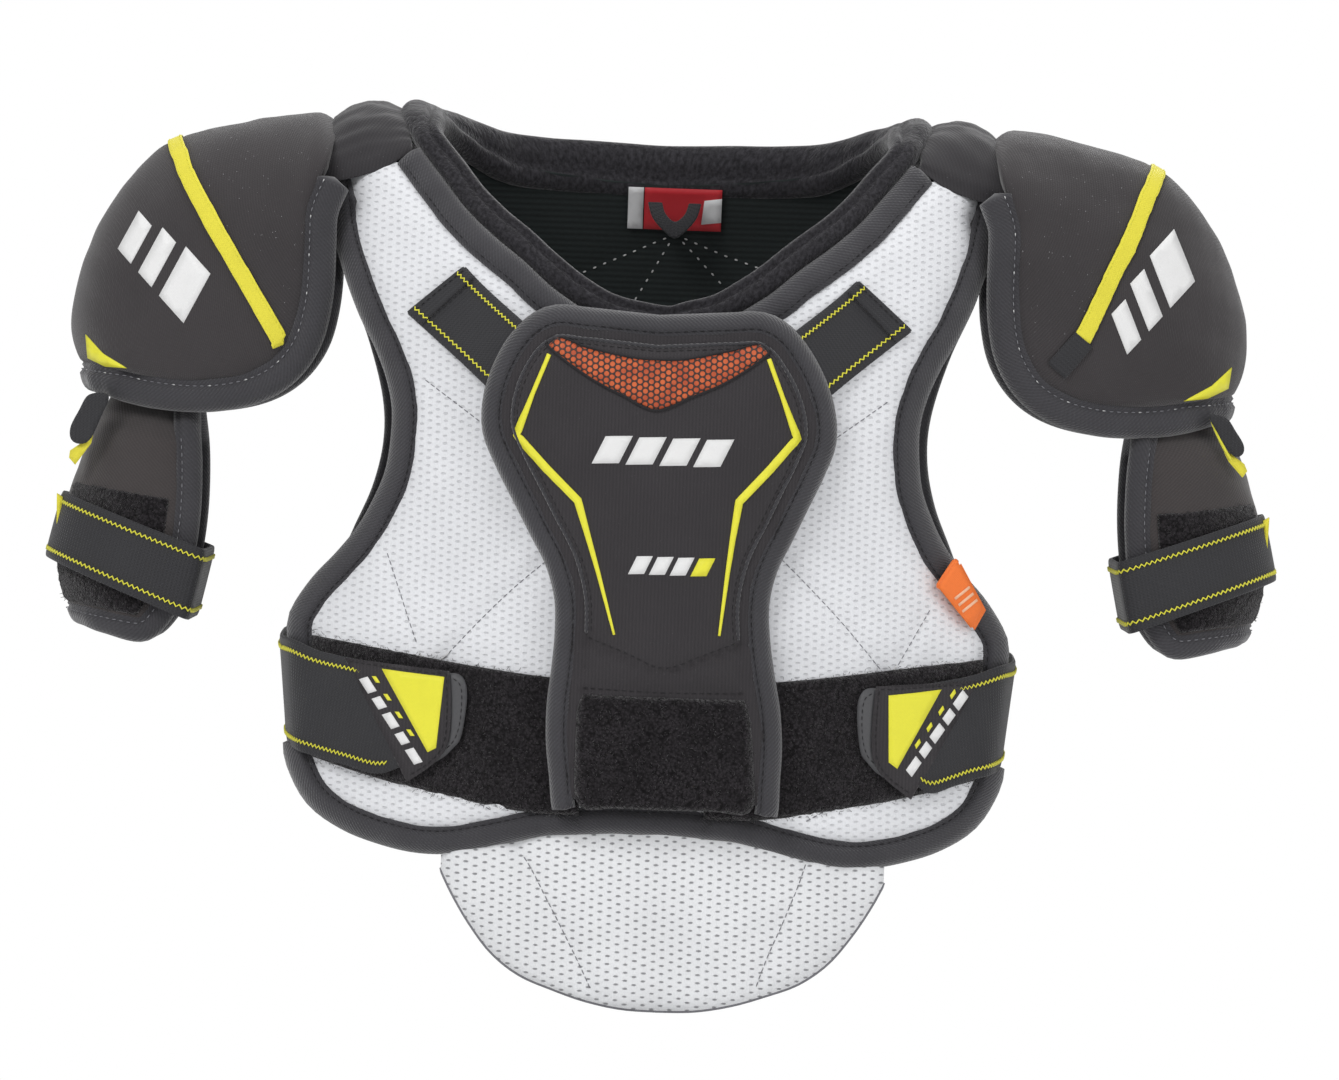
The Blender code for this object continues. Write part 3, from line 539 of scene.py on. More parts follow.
def white_mesh(name, hole_painted_shade, hole_low, pitch_u=6.2, pitch_v=2.9, tone=(0.80, 0.81, 0.84)):
    """Sports mesh over foam: staggered small holes in a soft knit, with painted shade darkening the holes."""
    k = Look(name, 0.8, 0.12, 0.5, 0.25)
    swim = k.noise(k.uv, 9.0, 1.0)
    u = k.math("MULTIPLY_ADD", swim, 1.1, k.u)
    dots = k.math("MULTIPLY", k.wave(u, pitch_u), k.wave(k.v, pitch_v))
    uneven = k.noise(k.uv, 2.4, 1.0)
    hole = k.step(k.math("MULTIPLY_ADD", uneven, 0.35, k.math("SUBTRACT", dots, 0.175)), hole_low, 0.95)
    yarn = k.noise(k.uv, 0.55, 2.0, 0.6, (1, 0.55, 1))
    cloudy = k.noise(k.place, 0.035, 2.0)
    base = k.mix(k.step(cloudy, 0.3, 0.7), tone, tuple(c * 0.93 for c in tone))
    base = k.mix(k.step(yarn, 0.35, 0.75, 0.0, 0.22), base, tuple(c * 0.6 for c in tone))
    # Painted shade: the mesh holes are darkened towards near-black, as shade in their recesses.
    k.colour(k.mix(k.math("MULTIPLY", hole, hole_painted_shade), base, (0.09, 0.09, 0.10)))
    height = k.math("MULTIPLY_ADD", hole, -0.75, k.math("MULTIPLY_ADD", yarn, 0.22, 0.75))
    k.bump(height, 0.42, 0.9)
    return k.mat


def knit(name, tone, pitch=1.25, slant=1.0, sparkle=0.0, sheen=0.25, depth=0.22, light=1.45, rough=0.85, warm=None):
    """Charcoal technical knit: fine slanted wales, uneven yarn and, where it has them, tiny bright specks."""
    k = Look(name, rough, sheen, 0.45, 0.28)
    along = k.math("MULTIPLY_ADD", k.v, slant, k.u)
    wale = k.wave(along, pitch)
    course = k.wave(k.v, pitch * 0.8)
    weave = k.math("MULTIPLY_ADD", k.math("MULTIPLY", wale, k.math("MULTIPLY_ADD", course, 0.4, 0.6)), 0.5, 0.5)
    yarn = k.noise(k.uv, 0.7, 2.0, 0.6)
    cloudy = k.noise(k.place, 0.03, 3.0)
    low = tuple(c * 0.72 for c in tone)
    high = tuple(min(1, c * light) for c in (warm or tone))
    base = k.mix(k.math("MULTIPLY_ADD", weave, 0.55, k.math("MULTIPLY", yarn, 0.45)), low, high)
    base = k.mix(k.step(cloudy, 0.35, 0.7, 0, 0.25), base, tuple(c * 0.85 for c in low))
    if sparkle:
        specks = k.cells(k.uv, 0.95)
        chance = k.noise(k.uv, 1.1, 0.0)
        lit = k.math("MULTIPLY", k.step(specks, 0.16, 0.04), k.step(chance, 0.62, 0.7))
        base = k.mix(k.math("MULTIPLY", lit, sparkle), base, (0.75, 0.75, 0.78))
    k.colour(base)
    k.bump(k.math("MULTIPLY_ADD", weave, 0.7, k.math("MULTIPLY", yarn, 0.5)), depth, 0.9)
    return k.mat


def brushed(name, tone, size=1.6, depth=0.6, sheen=0.5, light=1.8):
    """Brushed fleece: short nap in small clumps."""
    k = Look(name, 0.95, sheen, 0.35, 0.15)
    nap = k.noise(k.uv, size, 4.0, 0.65)
    clump = k.noise(k.place, 0.006, 2.0)
    base = k.mix(k.step(nap, 0.3, 0.72), tuple(c * 0.6 for c in tone), tuple(c * light for c in tone))
    k.colour(k.mix(k.step(clump, 0.4, 0.7, 0, 0.3), base, tone))
    k.bump(k.math("MULTIPLY_ADD", clump, 0.5, nap), depth, 0.9)
    return k.mat


def pile(name, tone, size=1.1, depth=1.0):
    """Loop pile of a fastener: tangled little loops, matt, with painted shade in the hollows and painted highlight on
    the loop tops.
    """
    k = Look(name, 1.0, 0.35, 0.3, 0.1)
    knots = k.cells(k.uv, size)
    tangle = k.noise(k.uv, size * 0.55, 4.0, 0.7)
    both = k.math("MULTIPLY_ADD", tangle, 0.9, k.math("MULTIPLY", k.math("SUBTRACT", 0.7, knots), 0.5))
    # The colour follows the bump height: painted shade in the hollows between the loops and painted highlight on their
    # tops.
    base = k.mix(k.step(both, 0.3, 0.85), tuple(c * 0.35 for c in tone), tuple(c * 2.3 for c in tone))
    worn = k.noise(k.place, 0.012, 2.0)
    k.colour(k.mix(k.step(worn, 0.35, 0.65, 0, 0.35), base, tuple(c * 0.5 for c in tone)))
    k.bump(both, depth, 1.0)
    return k.mat


def webbing(name, tone, rib=1.5, across=1.1, depth=0.28, light=1.5):
    """Woven elastic: ribs across the strap and fine ends along it."""
    k = Look(name, 0.75, 0.2, 0.4, 0.3)
    ribs = k.wave(k.u, rib)
    ends = k.wave(k.v, across, 0.4)
    stagger = k.math("MULTIPLY", ribs, ends)
    yarn = k.noise(k.uv, 0.5, 2.0, 0.6)
    weave = k.math("MULTIPLY_ADD", stagger, 0.3, k.math("MULTIPLY_ADD", ribs, 0.2, 0.5))
    base = k.mix(k.math("MULTIPLY_ADD", weave, 0.6, k.math("MULTIPLY", yarn, 0.4)), tuple(c * 0.65 for c in tone), tuple(c * light for c in tone))
    worn = k.noise(k.place, 0.02, 2.0)
    k.colour(k.mix(k.step(worn, 0.4, 0.7, 0, 0.3), base, tuple(c * 1.3 for c in tone)))
    k.bump(k.math("MULTIPLY_ADD", yarn, 0.4, weave), depth, 0.9)
    return k.mat


def plain_weave(name, tone, pitch=0.9, rough=0.7, spec=0.35, sheen=0.1, vary=0.15, depth=0.12):
    """Small trim: thread, tape and rubbery tabs, with a fine texture and slight wear."""
    k = Look(name, rough, sheen, 0.4, spec)
    weave = k.math("MULTIPLY", k.wave(k.u, pitch), k.wave(k.v, pitch))
    grain = k.noise(k.uv, 0.8, 2.0, 0.6)
    worn = k.noise(k.place, 0.009, 2.0)
    base = k.mix(k.math("MULTIPLY", k.step(weave, -0.6, 0.6), 0.35), tone, tuple(c * (1 - vary) for c in tone))
    base = k.mix(k.step(grain, 0.4, 0.8, 0, 0.5), base, tuple(c * (1 - 1.4 * vary) for c in tone))
    k.colour(k.mix(k.step(worn, 0.45, 0.75, 0, 0.5), base, tuple(c * (1 - vary) for c in tone)))
    k.bump(k.math("MULTIPLY_ADD", weave, 0.3, grain), depth, 0.8)
    return k.mat


def honeycomb(name):
    """Black hexagonal net over an orange layer that is darker in uneven patches."""
    k = Look(name, 0.6, 0.1, 0.4, 0.35)
    pitch = 2.5
    turn = 4 * math.pi / (math.sqrt(3) * pitch)
    a = k.math("COSINE", k.math("MULTIPLY", k.u, turn))
    b = k.math("COSINE", k.math("MULTIPLY", k.math("MULTIPLY_ADD", k.v, math.sqrt(3) / 2, k.math("MULTIPLY", k.u, 0.5)), turn))
    c = k.math("COSINE", k.math("MULTIPLY", k.math("MULTIPLY_ADD", k.v, -math.sqrt(3) / 2, k.math("MULTIPLY", k.u, 0.5)), turn))
    cell = k.step(k.math("ADD", a, k.math("ADD", b, c)), -0.95, -0.25)
    under = k.noise(k.uv, 7.0, 2.0)
    orange = k.mix(k.step(under, 0.3, 0.7), (0.62, 0.13, 0.04), (0.42, 0.07, 0.025))
    k.colour(k.mix(cell, (0.05, 0.028, 0.024), orange))
    k.bump(k.math("SUBTRACT", 1.0, cell), 0.35, 0.9)
    return k.mat


def ribbed(name, tone):
    """Inner lining: fine horizontal ribs of a brushed knit."""
    k = Look(name, 0.92, 0.3, 0.4, 0.15)
    ribs = k.wave(k.v, 2.3)
    nap = k.noise(k.uv, 0.9, 3.0, 0.6, (0.5, 1, 1))
    both = k.math("MULTIPLY_ADD", ribs, 0.22, k.math("MULTIPLY_ADD", nap, 0.5, 0.25))
    k.colour(k.mix(both, tuple(c * 0.6 for c in tone), tuple(c * 1.7 for c in tone)))
    k.bump(both, 0.4, 0.9)
    return k.mat


# The second number is how strongly painted shade darkens the mesh holes.
CHEST_WHITE = white_mesh("chest_mesh", 0.25, 0.42)
BELLY_WHITE = white_mesh("belly_mesh", 0.72, 0.50, 7.0, 3.1, (0.83, 0.84, 0.86))
CHARCOAL = knit("charcoal_knit", (0.040, 0.036, 0.038), 1.3, 0.9, 0.0, 0.3)
CHARCOAL_LIT = knit("charcoal_sparkle", (0.040, 0.036, 0.038), 1.15, 0.25, 1.0, 0.3)
ARM_KNIT = knit("arm_knit", (0.046, 0.040, 0.040), 1.3, 0.9, 0.0, 0.35, light=1.5)
GUARD_KNIT = knit("guard_weave", (0.033, 0.030, 0.033), 1.35, 0.0, 0.12, 0.3, 0.26)
BINDING = knit("binding_knit", (0.041, 0.040, 0.045), 1.7, 1.0, 0.12, 0.45, 0.34, 1.6, 0.85)
GUSSET = knit("gusset_knit", (0.034, 0.032, 0.035), 1.3, 0.4, 0.3, 0.3)
FLEECE = brushed("collar_fleece", (0.022, 0.021, 0.024), 1.7, 0.7, 0.5, 2.0)
BACK_KNIT = knit("back_knit", (0.036, 0.034, 0.037), 1.5, 0.5, 0.0, 0.3)
LINER = ribbed("inner_lining", (0.016, 0.020, 0.020))
PILE = pile("loop_pile", (0.020, 0.018, 0.020))
ELASTIC = webbing("elastic", (0.028, 0.028, 0.031))
YELLOW = plain_weave("yellow_tape", (0.80, 0.72, 0.055), 1.1, 0.65, 0.35, 0.15, 0.12, 0.15)
YELLOW_THREAD = plain_weave("yellow_thread", (0.80, 0.76, 0.06), 0.5, 0.7, 0.3, 0.15, 0.15, 0.05)
YELLOW_PRINT = plain_weave("yellow_print", (0.82, 0.78, 0.045), 1.0, 0.5, 0.4, 0.0, 0.08, 0.08)
WHITE_PRINT = plain_weave("white_print", (0.80, 0.80, 0.80), 1.0, 0.5, 0.4, 0.0, 0.06, 0.08)
WHITE_THREAD = plain_weave("white_thread", (0.62, 0.62, 0.62), 0.5, 0.7, 0.3, 0.1, 0.15, 0.05)
DARK_THREAD = plain_weave("dark_thread", (0.014, 0.013, 0.015), 0.5, 0.7, 0.3, 0.1, 0.2, 0.05)
GREY_THREAD = plain_weave("grey_thread", (0.22, 0.22, 0.24), 0.5, 0.7, 0.3, 0.1, 0.2, 0.05)
RUBBER = plain_weave("grey_rubber", (0.075, 0.075, 0.08), 0.7, 0.5, 0.45, 0.0, 0.2, 0.1)
ORANGE = plain_weave("orange_tag", (0.92, 0.20, 0.035), 0.9, 0.6, 0.35, 0.1, 0.1, 0.08)
TAG_LIGHT = plain_weave("tag_marks", (0.95, 0.55, 0.35), 0.9, 0.6, 0.35, 0.0, 0.1, 0.05)
RED = plain_weave("red_label", (0.55, 0.02, 0.03), 0.8, 0.55, 0.4, 0.1, 0.12, 0.08)
LABEL_WHITE = plain_weave("label_white", (0.72, 0.72, 0.73), 0.8, 0.55, 0.4, 0.1, 0.08, 0.06)
HONEY = honeycomb("honeycomb_window")


# ---------------------------------------------------------------- padding
def crown(d, width, height):
    """A padded edge: rises from nothing to its height over a width, like a quarter round."""
    t = np.clip(d / width, 0, 1)
    return height * np.sqrt(np.clip(1 - (1 - t) ** 2, 0, 1))


def sewn(pts, lines, pucker=0.25):
    """How far sewn channels pull the fabric in: (line, depth, width) each."""
    down = np.zeros(len(pts))
    for k, (line, depth, width) in enumerate(lines):
        d, s = distance(pts, line)
        down += depth * np.exp(-(d / width) ** 2)
        down += pucker * np.exp(-((d - width * 1.4) / (width * 1.2)) ** 2) * np.sin(2 * math.pi * s / 6.2 + 1.3 * k + 0.5 * np.sin(s * 0.37))
    return down


def roll_profile(count=26, groove=0.26, at=-0.52, wide=0.13, power=2.6):
    """A bound edge: a full roll with the needle line pressed in near its inner side."""
    out = []
    for k in range(count):
        a = 2 * math.pi * (k + 0.5) / count
        c = math.copysign(abs(math.cos(a)) ** 0.85, math.cos(a))
        up = max(0.0, 1 - abs(c) ** power) ** 0.5
        up *= 1 - groove * math.exp(-((c - at) / wide) ** 2)
        out.append((c, math.copysign(up, math.sin(a))))
    return np.array(out)


ROLL = roll_profile()
COLLAR_ROLL = roll_profile(30, 0.34, 0.28, 0.16, 3.2)
PLUMP = roll_profile(26, 0.0, 0, 0.2, 2.4)


def lumpy(length, seed, size=16.0, much=0.25, pucker=0.14):
    """Hand-sewn unevenness for a binding: it swells a little and puckers between stitches."""
    rng = np.random.RandomState(seed)
    phase = rng.uniform(0, 6.3, 4)

    def bend(i, across, ups):
        s = i / max(1, i.max()) * length
        swell = 1 + 0.05 * np.sin(s * 2 * math.pi / size + phase[0]) + 0.04 * np.sin(s * 2 * math.pi / (size * 2.7) + phase[1])
        folds = pucker * np.sin(s * 2 * math.pi / 5.3 + 1.5 * np.sin(s / 11 + phase[2])) * np.exp(-((across + 0.45) / 0.3) ** 2)
        return ups * swell + np.sign(ups) * folds
    return bend


def belongs(obj, slot, *nodes, pad=None):
    if nodes:
        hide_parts(*nodes)
    return obj


def on_front(points, offset):
    p = np.asarray(points, float)
    return np.stack([p[:, 0], front_y(p[:, 0], p[:, 1]) + offset, p[:, 1]], 1)


def on_back(points, offset):
    p = np.asarray(points, float)
    return np.stack([p[:, 0], back_y(p[:, 0], p[:, 1]) + offset, p[:, 1]], 1)


def mirrored(points, side):
    p = np.array(points, float)
    p[:, 0] *= -side
    return p


# ---------------------------------------------------------------- chest panel
RAISED_CHEST = [(-104, -4.5), (-115, -3.5), (-124, -8), (-120, -20)]   # runs up under the shoulder gusset
left = chain(run(NECK, 4), run(RAISED_CHEST, 4), run(ARMHOLE, 4), run(SIDE_EDGE, 4), run(HEM, 4))
chest_loop = chain(left, flip(left))
flat, tris = flat_mesh(chest_loop, 2.7)
QUILT = [
    (catmull([(-103.5, -153), (-95, -176), (-89.2, -191.6)], 12), 0.9, 2.2),
    (catmull([(-38, -155), (-52.6, -168.0), (-67, -183), (-80.5, -198.5)], 14), 1.7, 3.0),
    (catmull([(-96, -84.5), (-83, -93.5), (-68, -104)], 10), 0.9, 5.0),
    (catmull([(44, -147), (58.4, -160.4), (75, -177), (93, -197.3)], 14), 1.7, 3.0),
    (catmull([(109, -171), (102, -184), (97.2, -193)], 10), 0.9, 2.2),
    (catmull([(92, -89), (82, -96.5), (68, -107)], 10), 0.9, 5.0),
    (catmull([(-84, -240), (-72, -247), (-58, -254)], 8), 0.8, 2.4),
    (catmull([(86, -240), (74, -248), (62, -255)], 8), 0.8, 2.4),
]
edge = distance(flat, chest_loop, True)[0]
pressed = 1 - 0.8 * np.exp(-(np.clip(np.abs(flat[:, 1] + 219) - 20, 0, None) / 9) ** 2)
height = crown(edge, 15, 2.6) * pressed + 0.35 * soft_noise(flat, 52, 1) + 0.16 * soft_noise(flat, 15, 2)
height -= sewn(flat, QUILT, 0.22) * np.where(edge > 6, 1, 0.5)
height *= np.clip(edge / 3, 0, 1)
height -= 1.15 * np.exp(-(edge / 3.4) ** 2)
height = np.clip(height, -1.6, 3.4)
inner = 10.6 + 0.6 * crown(edge, 10, 1.0) + 0.2 * soft_noise(flat, 30, 3)
chest = slab("chest_pad", flat, tris, on_front(flat, 0)[:, :3] - np.stack([0 * height, height, 0 * height], 1), on_front(flat, 0) + np.stack([0 * inner, inner, 0 * inner], 1), (CHEST_WHITE, LINER, BINDING), "torso")
belongs(chest, "white_mesh", "chest_cover", "chest_foam", "chest_liner", pad=0.55)
chest_skin = skin_of(chest)

# Needle lines of the quilting, and loose white stitches beside the loop band.
lines = []
for line, _, _ in QUILT:
    keep = line[distance(line, chest_loop, True)[0] > 4]
    if len(keep) > 3:
        lines += dash_lines(lay(chest_skin, catmull(keep, 60), 0.05), 2.0, 0.9)
quilt_thread = tubes("chest_quilt_thread", lines, 0.22, GREY_THREAD, parent=chest)
loose = [((-88.3, -194.0), (-85.4, -198.6)), ((-76.6, -193.8), (-81.9, -199.1)), ((89.4, -195.6), (92.6, -198.9)), ((96.6, -192.5), (93.4, -199.4))]
tubes("chest_loose_stitches", [lay(chest_skin, np.linspace(a, b, 8), 0.35) for a, b in loose], 0.32, WHITE_THREAD, parent=chest)

for side, tag in ((-1, "left"), (1, "right")):
    hole = mirrored(run([(-125.5, -6.5), (-122.6, -20)] + ARMHOLE[1:] + [(-132.4, -190), (-131.8, -197)], 3.2), side)
    turn = 1 if side == -1 else -1
    A, B = on_front(shifted(hole, 2.6 * turn), 4.9), on_front(shifted(hole, -8.9 * turn), 6.6)
    size = length_of(A)
    piece = strip("armhole_roll_" + tag, A, B, 7.3, BINDING, "torso", profile=ROLL, up=(0, -1, 0), bend=lumpy(size, 3 + side))
    belongs(piece, "black_fleece", "armhole_binding_" + tag)
    t = np.linspace(0.01, 0.99, int(size / 1.0))
    seam = on_strip(A, B, t, np.full(len(t), -0.52), np.full(len(t), 5.5), up=(0, -1, 0))
    tubes("armhole_stitches_" + tag, dash_lines(seam, 1.9, 1.3), 0.2, DARK_THREAD, parent=piece)

low = run([(-131.6, -232)] + HEM, 3.2)
low = chain(low, flip(low))
A, B = on_front(shifted(low, 2.4), 4.9), on_front(shifted(low, -9.8), 6.2)
size = length_of(A)
hem = strip("hem_roll", A, B, 7.3, BINDING, "torso", profile=ROLL, up=(0, -1, 0), bend=lumpy(size, 8))
belongs(hem, "black_fleece", "chest_hem_binding")
t = np.linspace(0.01, 0.99, int(size))
tubes("hem_stitches", dash_lines(on_strip(A, B, t, np.full(len(t), -0.52), np.full(len(t), 5.5), up=(0, -1, 0)), 1.9, 1.3), 0.2, DARK_THREAD, parent=hem)

# ---------------------------------------------------------------- neck
half = run(NECK, 3.2)
whole = chain(flip(half), half)
A, B = on_front(shifted(whole, 1.6), 4.6), on_front(shifted(whole, -10.4), 4.8)
size = length_of(A)
piece = strip("collar_edge_roll", A, B, 6.8, BINDING, "torso", profile=roll_profile(26, 0.2, -0.5, 0.12, 3.0), up=(0, -1, 0), bend=lumpy(size, 12, pucker=0.1))
belongs(piece, "black_fleece", "collar_binding")
t = np.linspace(0.01, 0.99, int(size))
tubes("collar_edge_stitches", dash_lines(on_strip(A, B, t, np.full(len(t), -0.5), np.full(len(t), 5.3), up=(0, -1, 0)), 1.9, 1.3), 0.2, DARK_THREAD, parent=piece)

front_half = run(NECK[:-1] + [(-103, -6)], 15)
in_a, in_b = shifted(front_half, -9.4), shifted(front_half, -20.8)
edge_a = [(x, float(front_y(x, z)) + 6.0, z) for x, z in in_a] + [(-103.5, -26, 10.2), (-105, -6, 16.9), (-99, 16, 18.0), (-84, 37, 16), (-67, 50, 11.2), (-49, 57.5, 9.4), (-25, 62, 8.8), (0, 63.5, 8.0)]
edge_b = [(x, float(front_y(x, z)) + 8.5, z) for x, z in in_b] + [(-87, -24, 10.5), (-87.5, -6, 11.5), (-85, 14, 7.5), (-77, 32, -1.0), (-63, 43, -9.0), (-47, 50.5, -11.4), (-24, 55.5, -12.8), (0, 57, -14.0)]
round_ = lambda edge: edge + [(-x, y, z) for x, y, z in reversed(edge[1:-1])]
A, B = catmull(round_(edge_a), 300, True), catmull(round_(edge_b), 300, True)
size = length_of(A)
collar = strip("collar_roll", A, B, 5.8, FLEECE, "torso", ring=True, profile=COLLAR_ROLL, bend=lumpy(size, 15, 21, pucker=0.2))
belongs(collar, "black_fleece", "neck_collar", pad=0.6)

# ---------------------------------------------------------------- back panel
RAISED_TOP = [(0, -8), (-30, -6), (-55, -3), (-74, -0.5), (-90, 0.5), (-104, -2), (-113, -10), (-120, -20)]   # runs up into the collar
left = chain(run(RAISED_TOP, 5), run(BACK_ARMHOLE, 5), run(BACK_SIDE, 5), run(BACK_LOW, 5))
back_loop = chain(left, flip(left))
flat, tris = flat_mesh(back_loop, 3.6)
edge = distance(flat, back_loop, True)[0]
RAYS = [catmull([(4.8, -27), (-17, -37), (-38.7, -46.9), (-72, -63), (-98, -78)], 30), catmull([(4.8, -27), (-14, -60.4), (-34, -95), (-52, -128)], 30),
        catmull([(4.8, -27), (26.6, -48.8), (52, -75), (78, -104)], 30), catmull([(4.8, -27), (24, -34.5), (44.7, -41.5), (76, -54), (100, -66)], 30),
        catmull([(-96, -150), (-50, -158), (0, -161), (50, -158), (96, -150)], 30)]
OUTER = [catmull([(-45, -30), (-60, -75), (-62, -130), (-52, -185), (-45, -243)], 30), catmull([(45, -30), (60, -75), (62, -130), (52, -185), (45, -243)], 30),
         catmull([(-61, -110), (-80, -122), (-101, -128)], 12), catmull([(61, -110), (80, -122), (101, -128)], 12),
         catmull([(-56, -175), (-85, -183), (-116, -185)], 12), catmull([(56, -175), (85, -183), (116, -185)], 12)]
inner = -10.3 - (crown(edge, 14, 1.6) - sewn(flat, [(r, 1.1, 2.6) for r in RAYS], 0.2) + 0.25 * soft_noise(flat, 40, 5)) * np.clip(edge / 4, 0, 1)
outer = (crown(edge, 14, 2.8) - sewn(flat, [(r, 1.7, 3.0) for r in OUTER], 0.25) + 0.4 * soft_noise(flat, 46, 6)) * np.clip(edge / 4, 0, 1)
flat_zero = 0 * inner
back = slab("back_pad", flat, tris, on_back(flat, 0) + np.stack([flat_zero, inner, flat_zero], 1), on_back(flat, 0) + np.stack([flat_zero, outer, flat_zero], 1), (LINER, BACK_KNIT, BINDING), "torso")
belongs(back, "charcoal_knit", "back_cover", "back_foam", pad=0.5)
back_skin = skin_of(back)
lines = []
for line in RAYS[:4]:
    lines += dash_lines(lay(back_skin, catmull(line, 90), 0.25, 0.0), 1.3, 3.1)
tubes("back_lining_stitches", lines, 0.36, WHITE_THREAD, parent=back)
lines = []
for line in OUTER:
    keep = line[distance(line, back_loop, True)[0] > 6]
    lines += dash_lines(lay(back_skin, catmull(keep, 90), 0.15, 300, -1), 2.2, 1.2)
tubes("back_quilt_thread", lines, 0.24, GREY_THREAD, parent=back)
left = run([(-121.5, -23)] + BACK_ARMHOLE[1:] + BACK_SIDE[1:] + BACK_LOW[1:], 3.4)
rim = chain(left, flip(left))
A, B = on_back(shifted(rim, 2.2), -4.8), on_back(shifted(rim, -9.2), -6)
size = length_of(A)
piece = strip("back_edge_roll", A, B, 6.6, BINDING, "torso", profile=ROLL, up=(0, 1, 0), bend=lumpy(size, 18))
belongs(piece, "black_fleece", "back_binding")
t = np.linspace(0.01, 0.99, int(size))
tubes("back_edge_stitches", dash_lines(on_strip(A, B, t, np.full(len(t), -0.52), np.full(len(t), 4.9), up=(0, 1, 0)), 1.9, 1.3), 0.2, DARK_THREAD, parent=piece)

guard = chain(run([(0, -32), (-22, -33), (-36, -40)], 4), run([(-36, -40), (-40, -95), (-38, -150), (-31, -205), (-18, -222), (0, -225)], 4))
guard = chain(guard, flip(guard))
flat, tris = flat_mesh(guard, 3.0)
edge = distance(flat, guard, True)[0]
BARS = [catmull([(-42, z + 4), (0, z - 3), (42, z + 4)], 16) for z in (-68, -104, -140, -176)]
lift = 3.5 + (crown(edge, 12, 6.0) - sewn(flat, [(b, 2.6, 3.2) for b in BARS], 0.3) + 0.3 * soft_noise(flat, 30, 7)) * np.clip(edge / 3, 0, 1)
spine = slab("spine_pad", flat, tris, on_back(flat, 0.6), on_back(flat, 0) + np.stack([0 * lift, lift, 0 * lift], 1), (LINER, CHARCOAL, BINDING), "torso")
belongs(spine, "charcoal_knit", "spine_guard", pad=0.7)
spine_skin = skin_of(spine)
lines = []
for line in BARS:
    keep = line[distance(line, guard, True)[0] > 3]
    lines += dash_lines(lay(spine_skin, catmull(keep, 60), 0.15, 300, -1), 2.2, 1.2)
ringline = shifted(guard, -4.5)
if not inside(ringline[:1], guard)[0]:
    ringline = shifted(guard, 4.5)
lines += dash_lines(lay(spine_skin, catmull(ringline, 400, True), 0.15, 300, -1), 2.2, 1.2)
tubes("spine_stitches", lines, 0.26, YELLOW_THREAD, parent=spine)

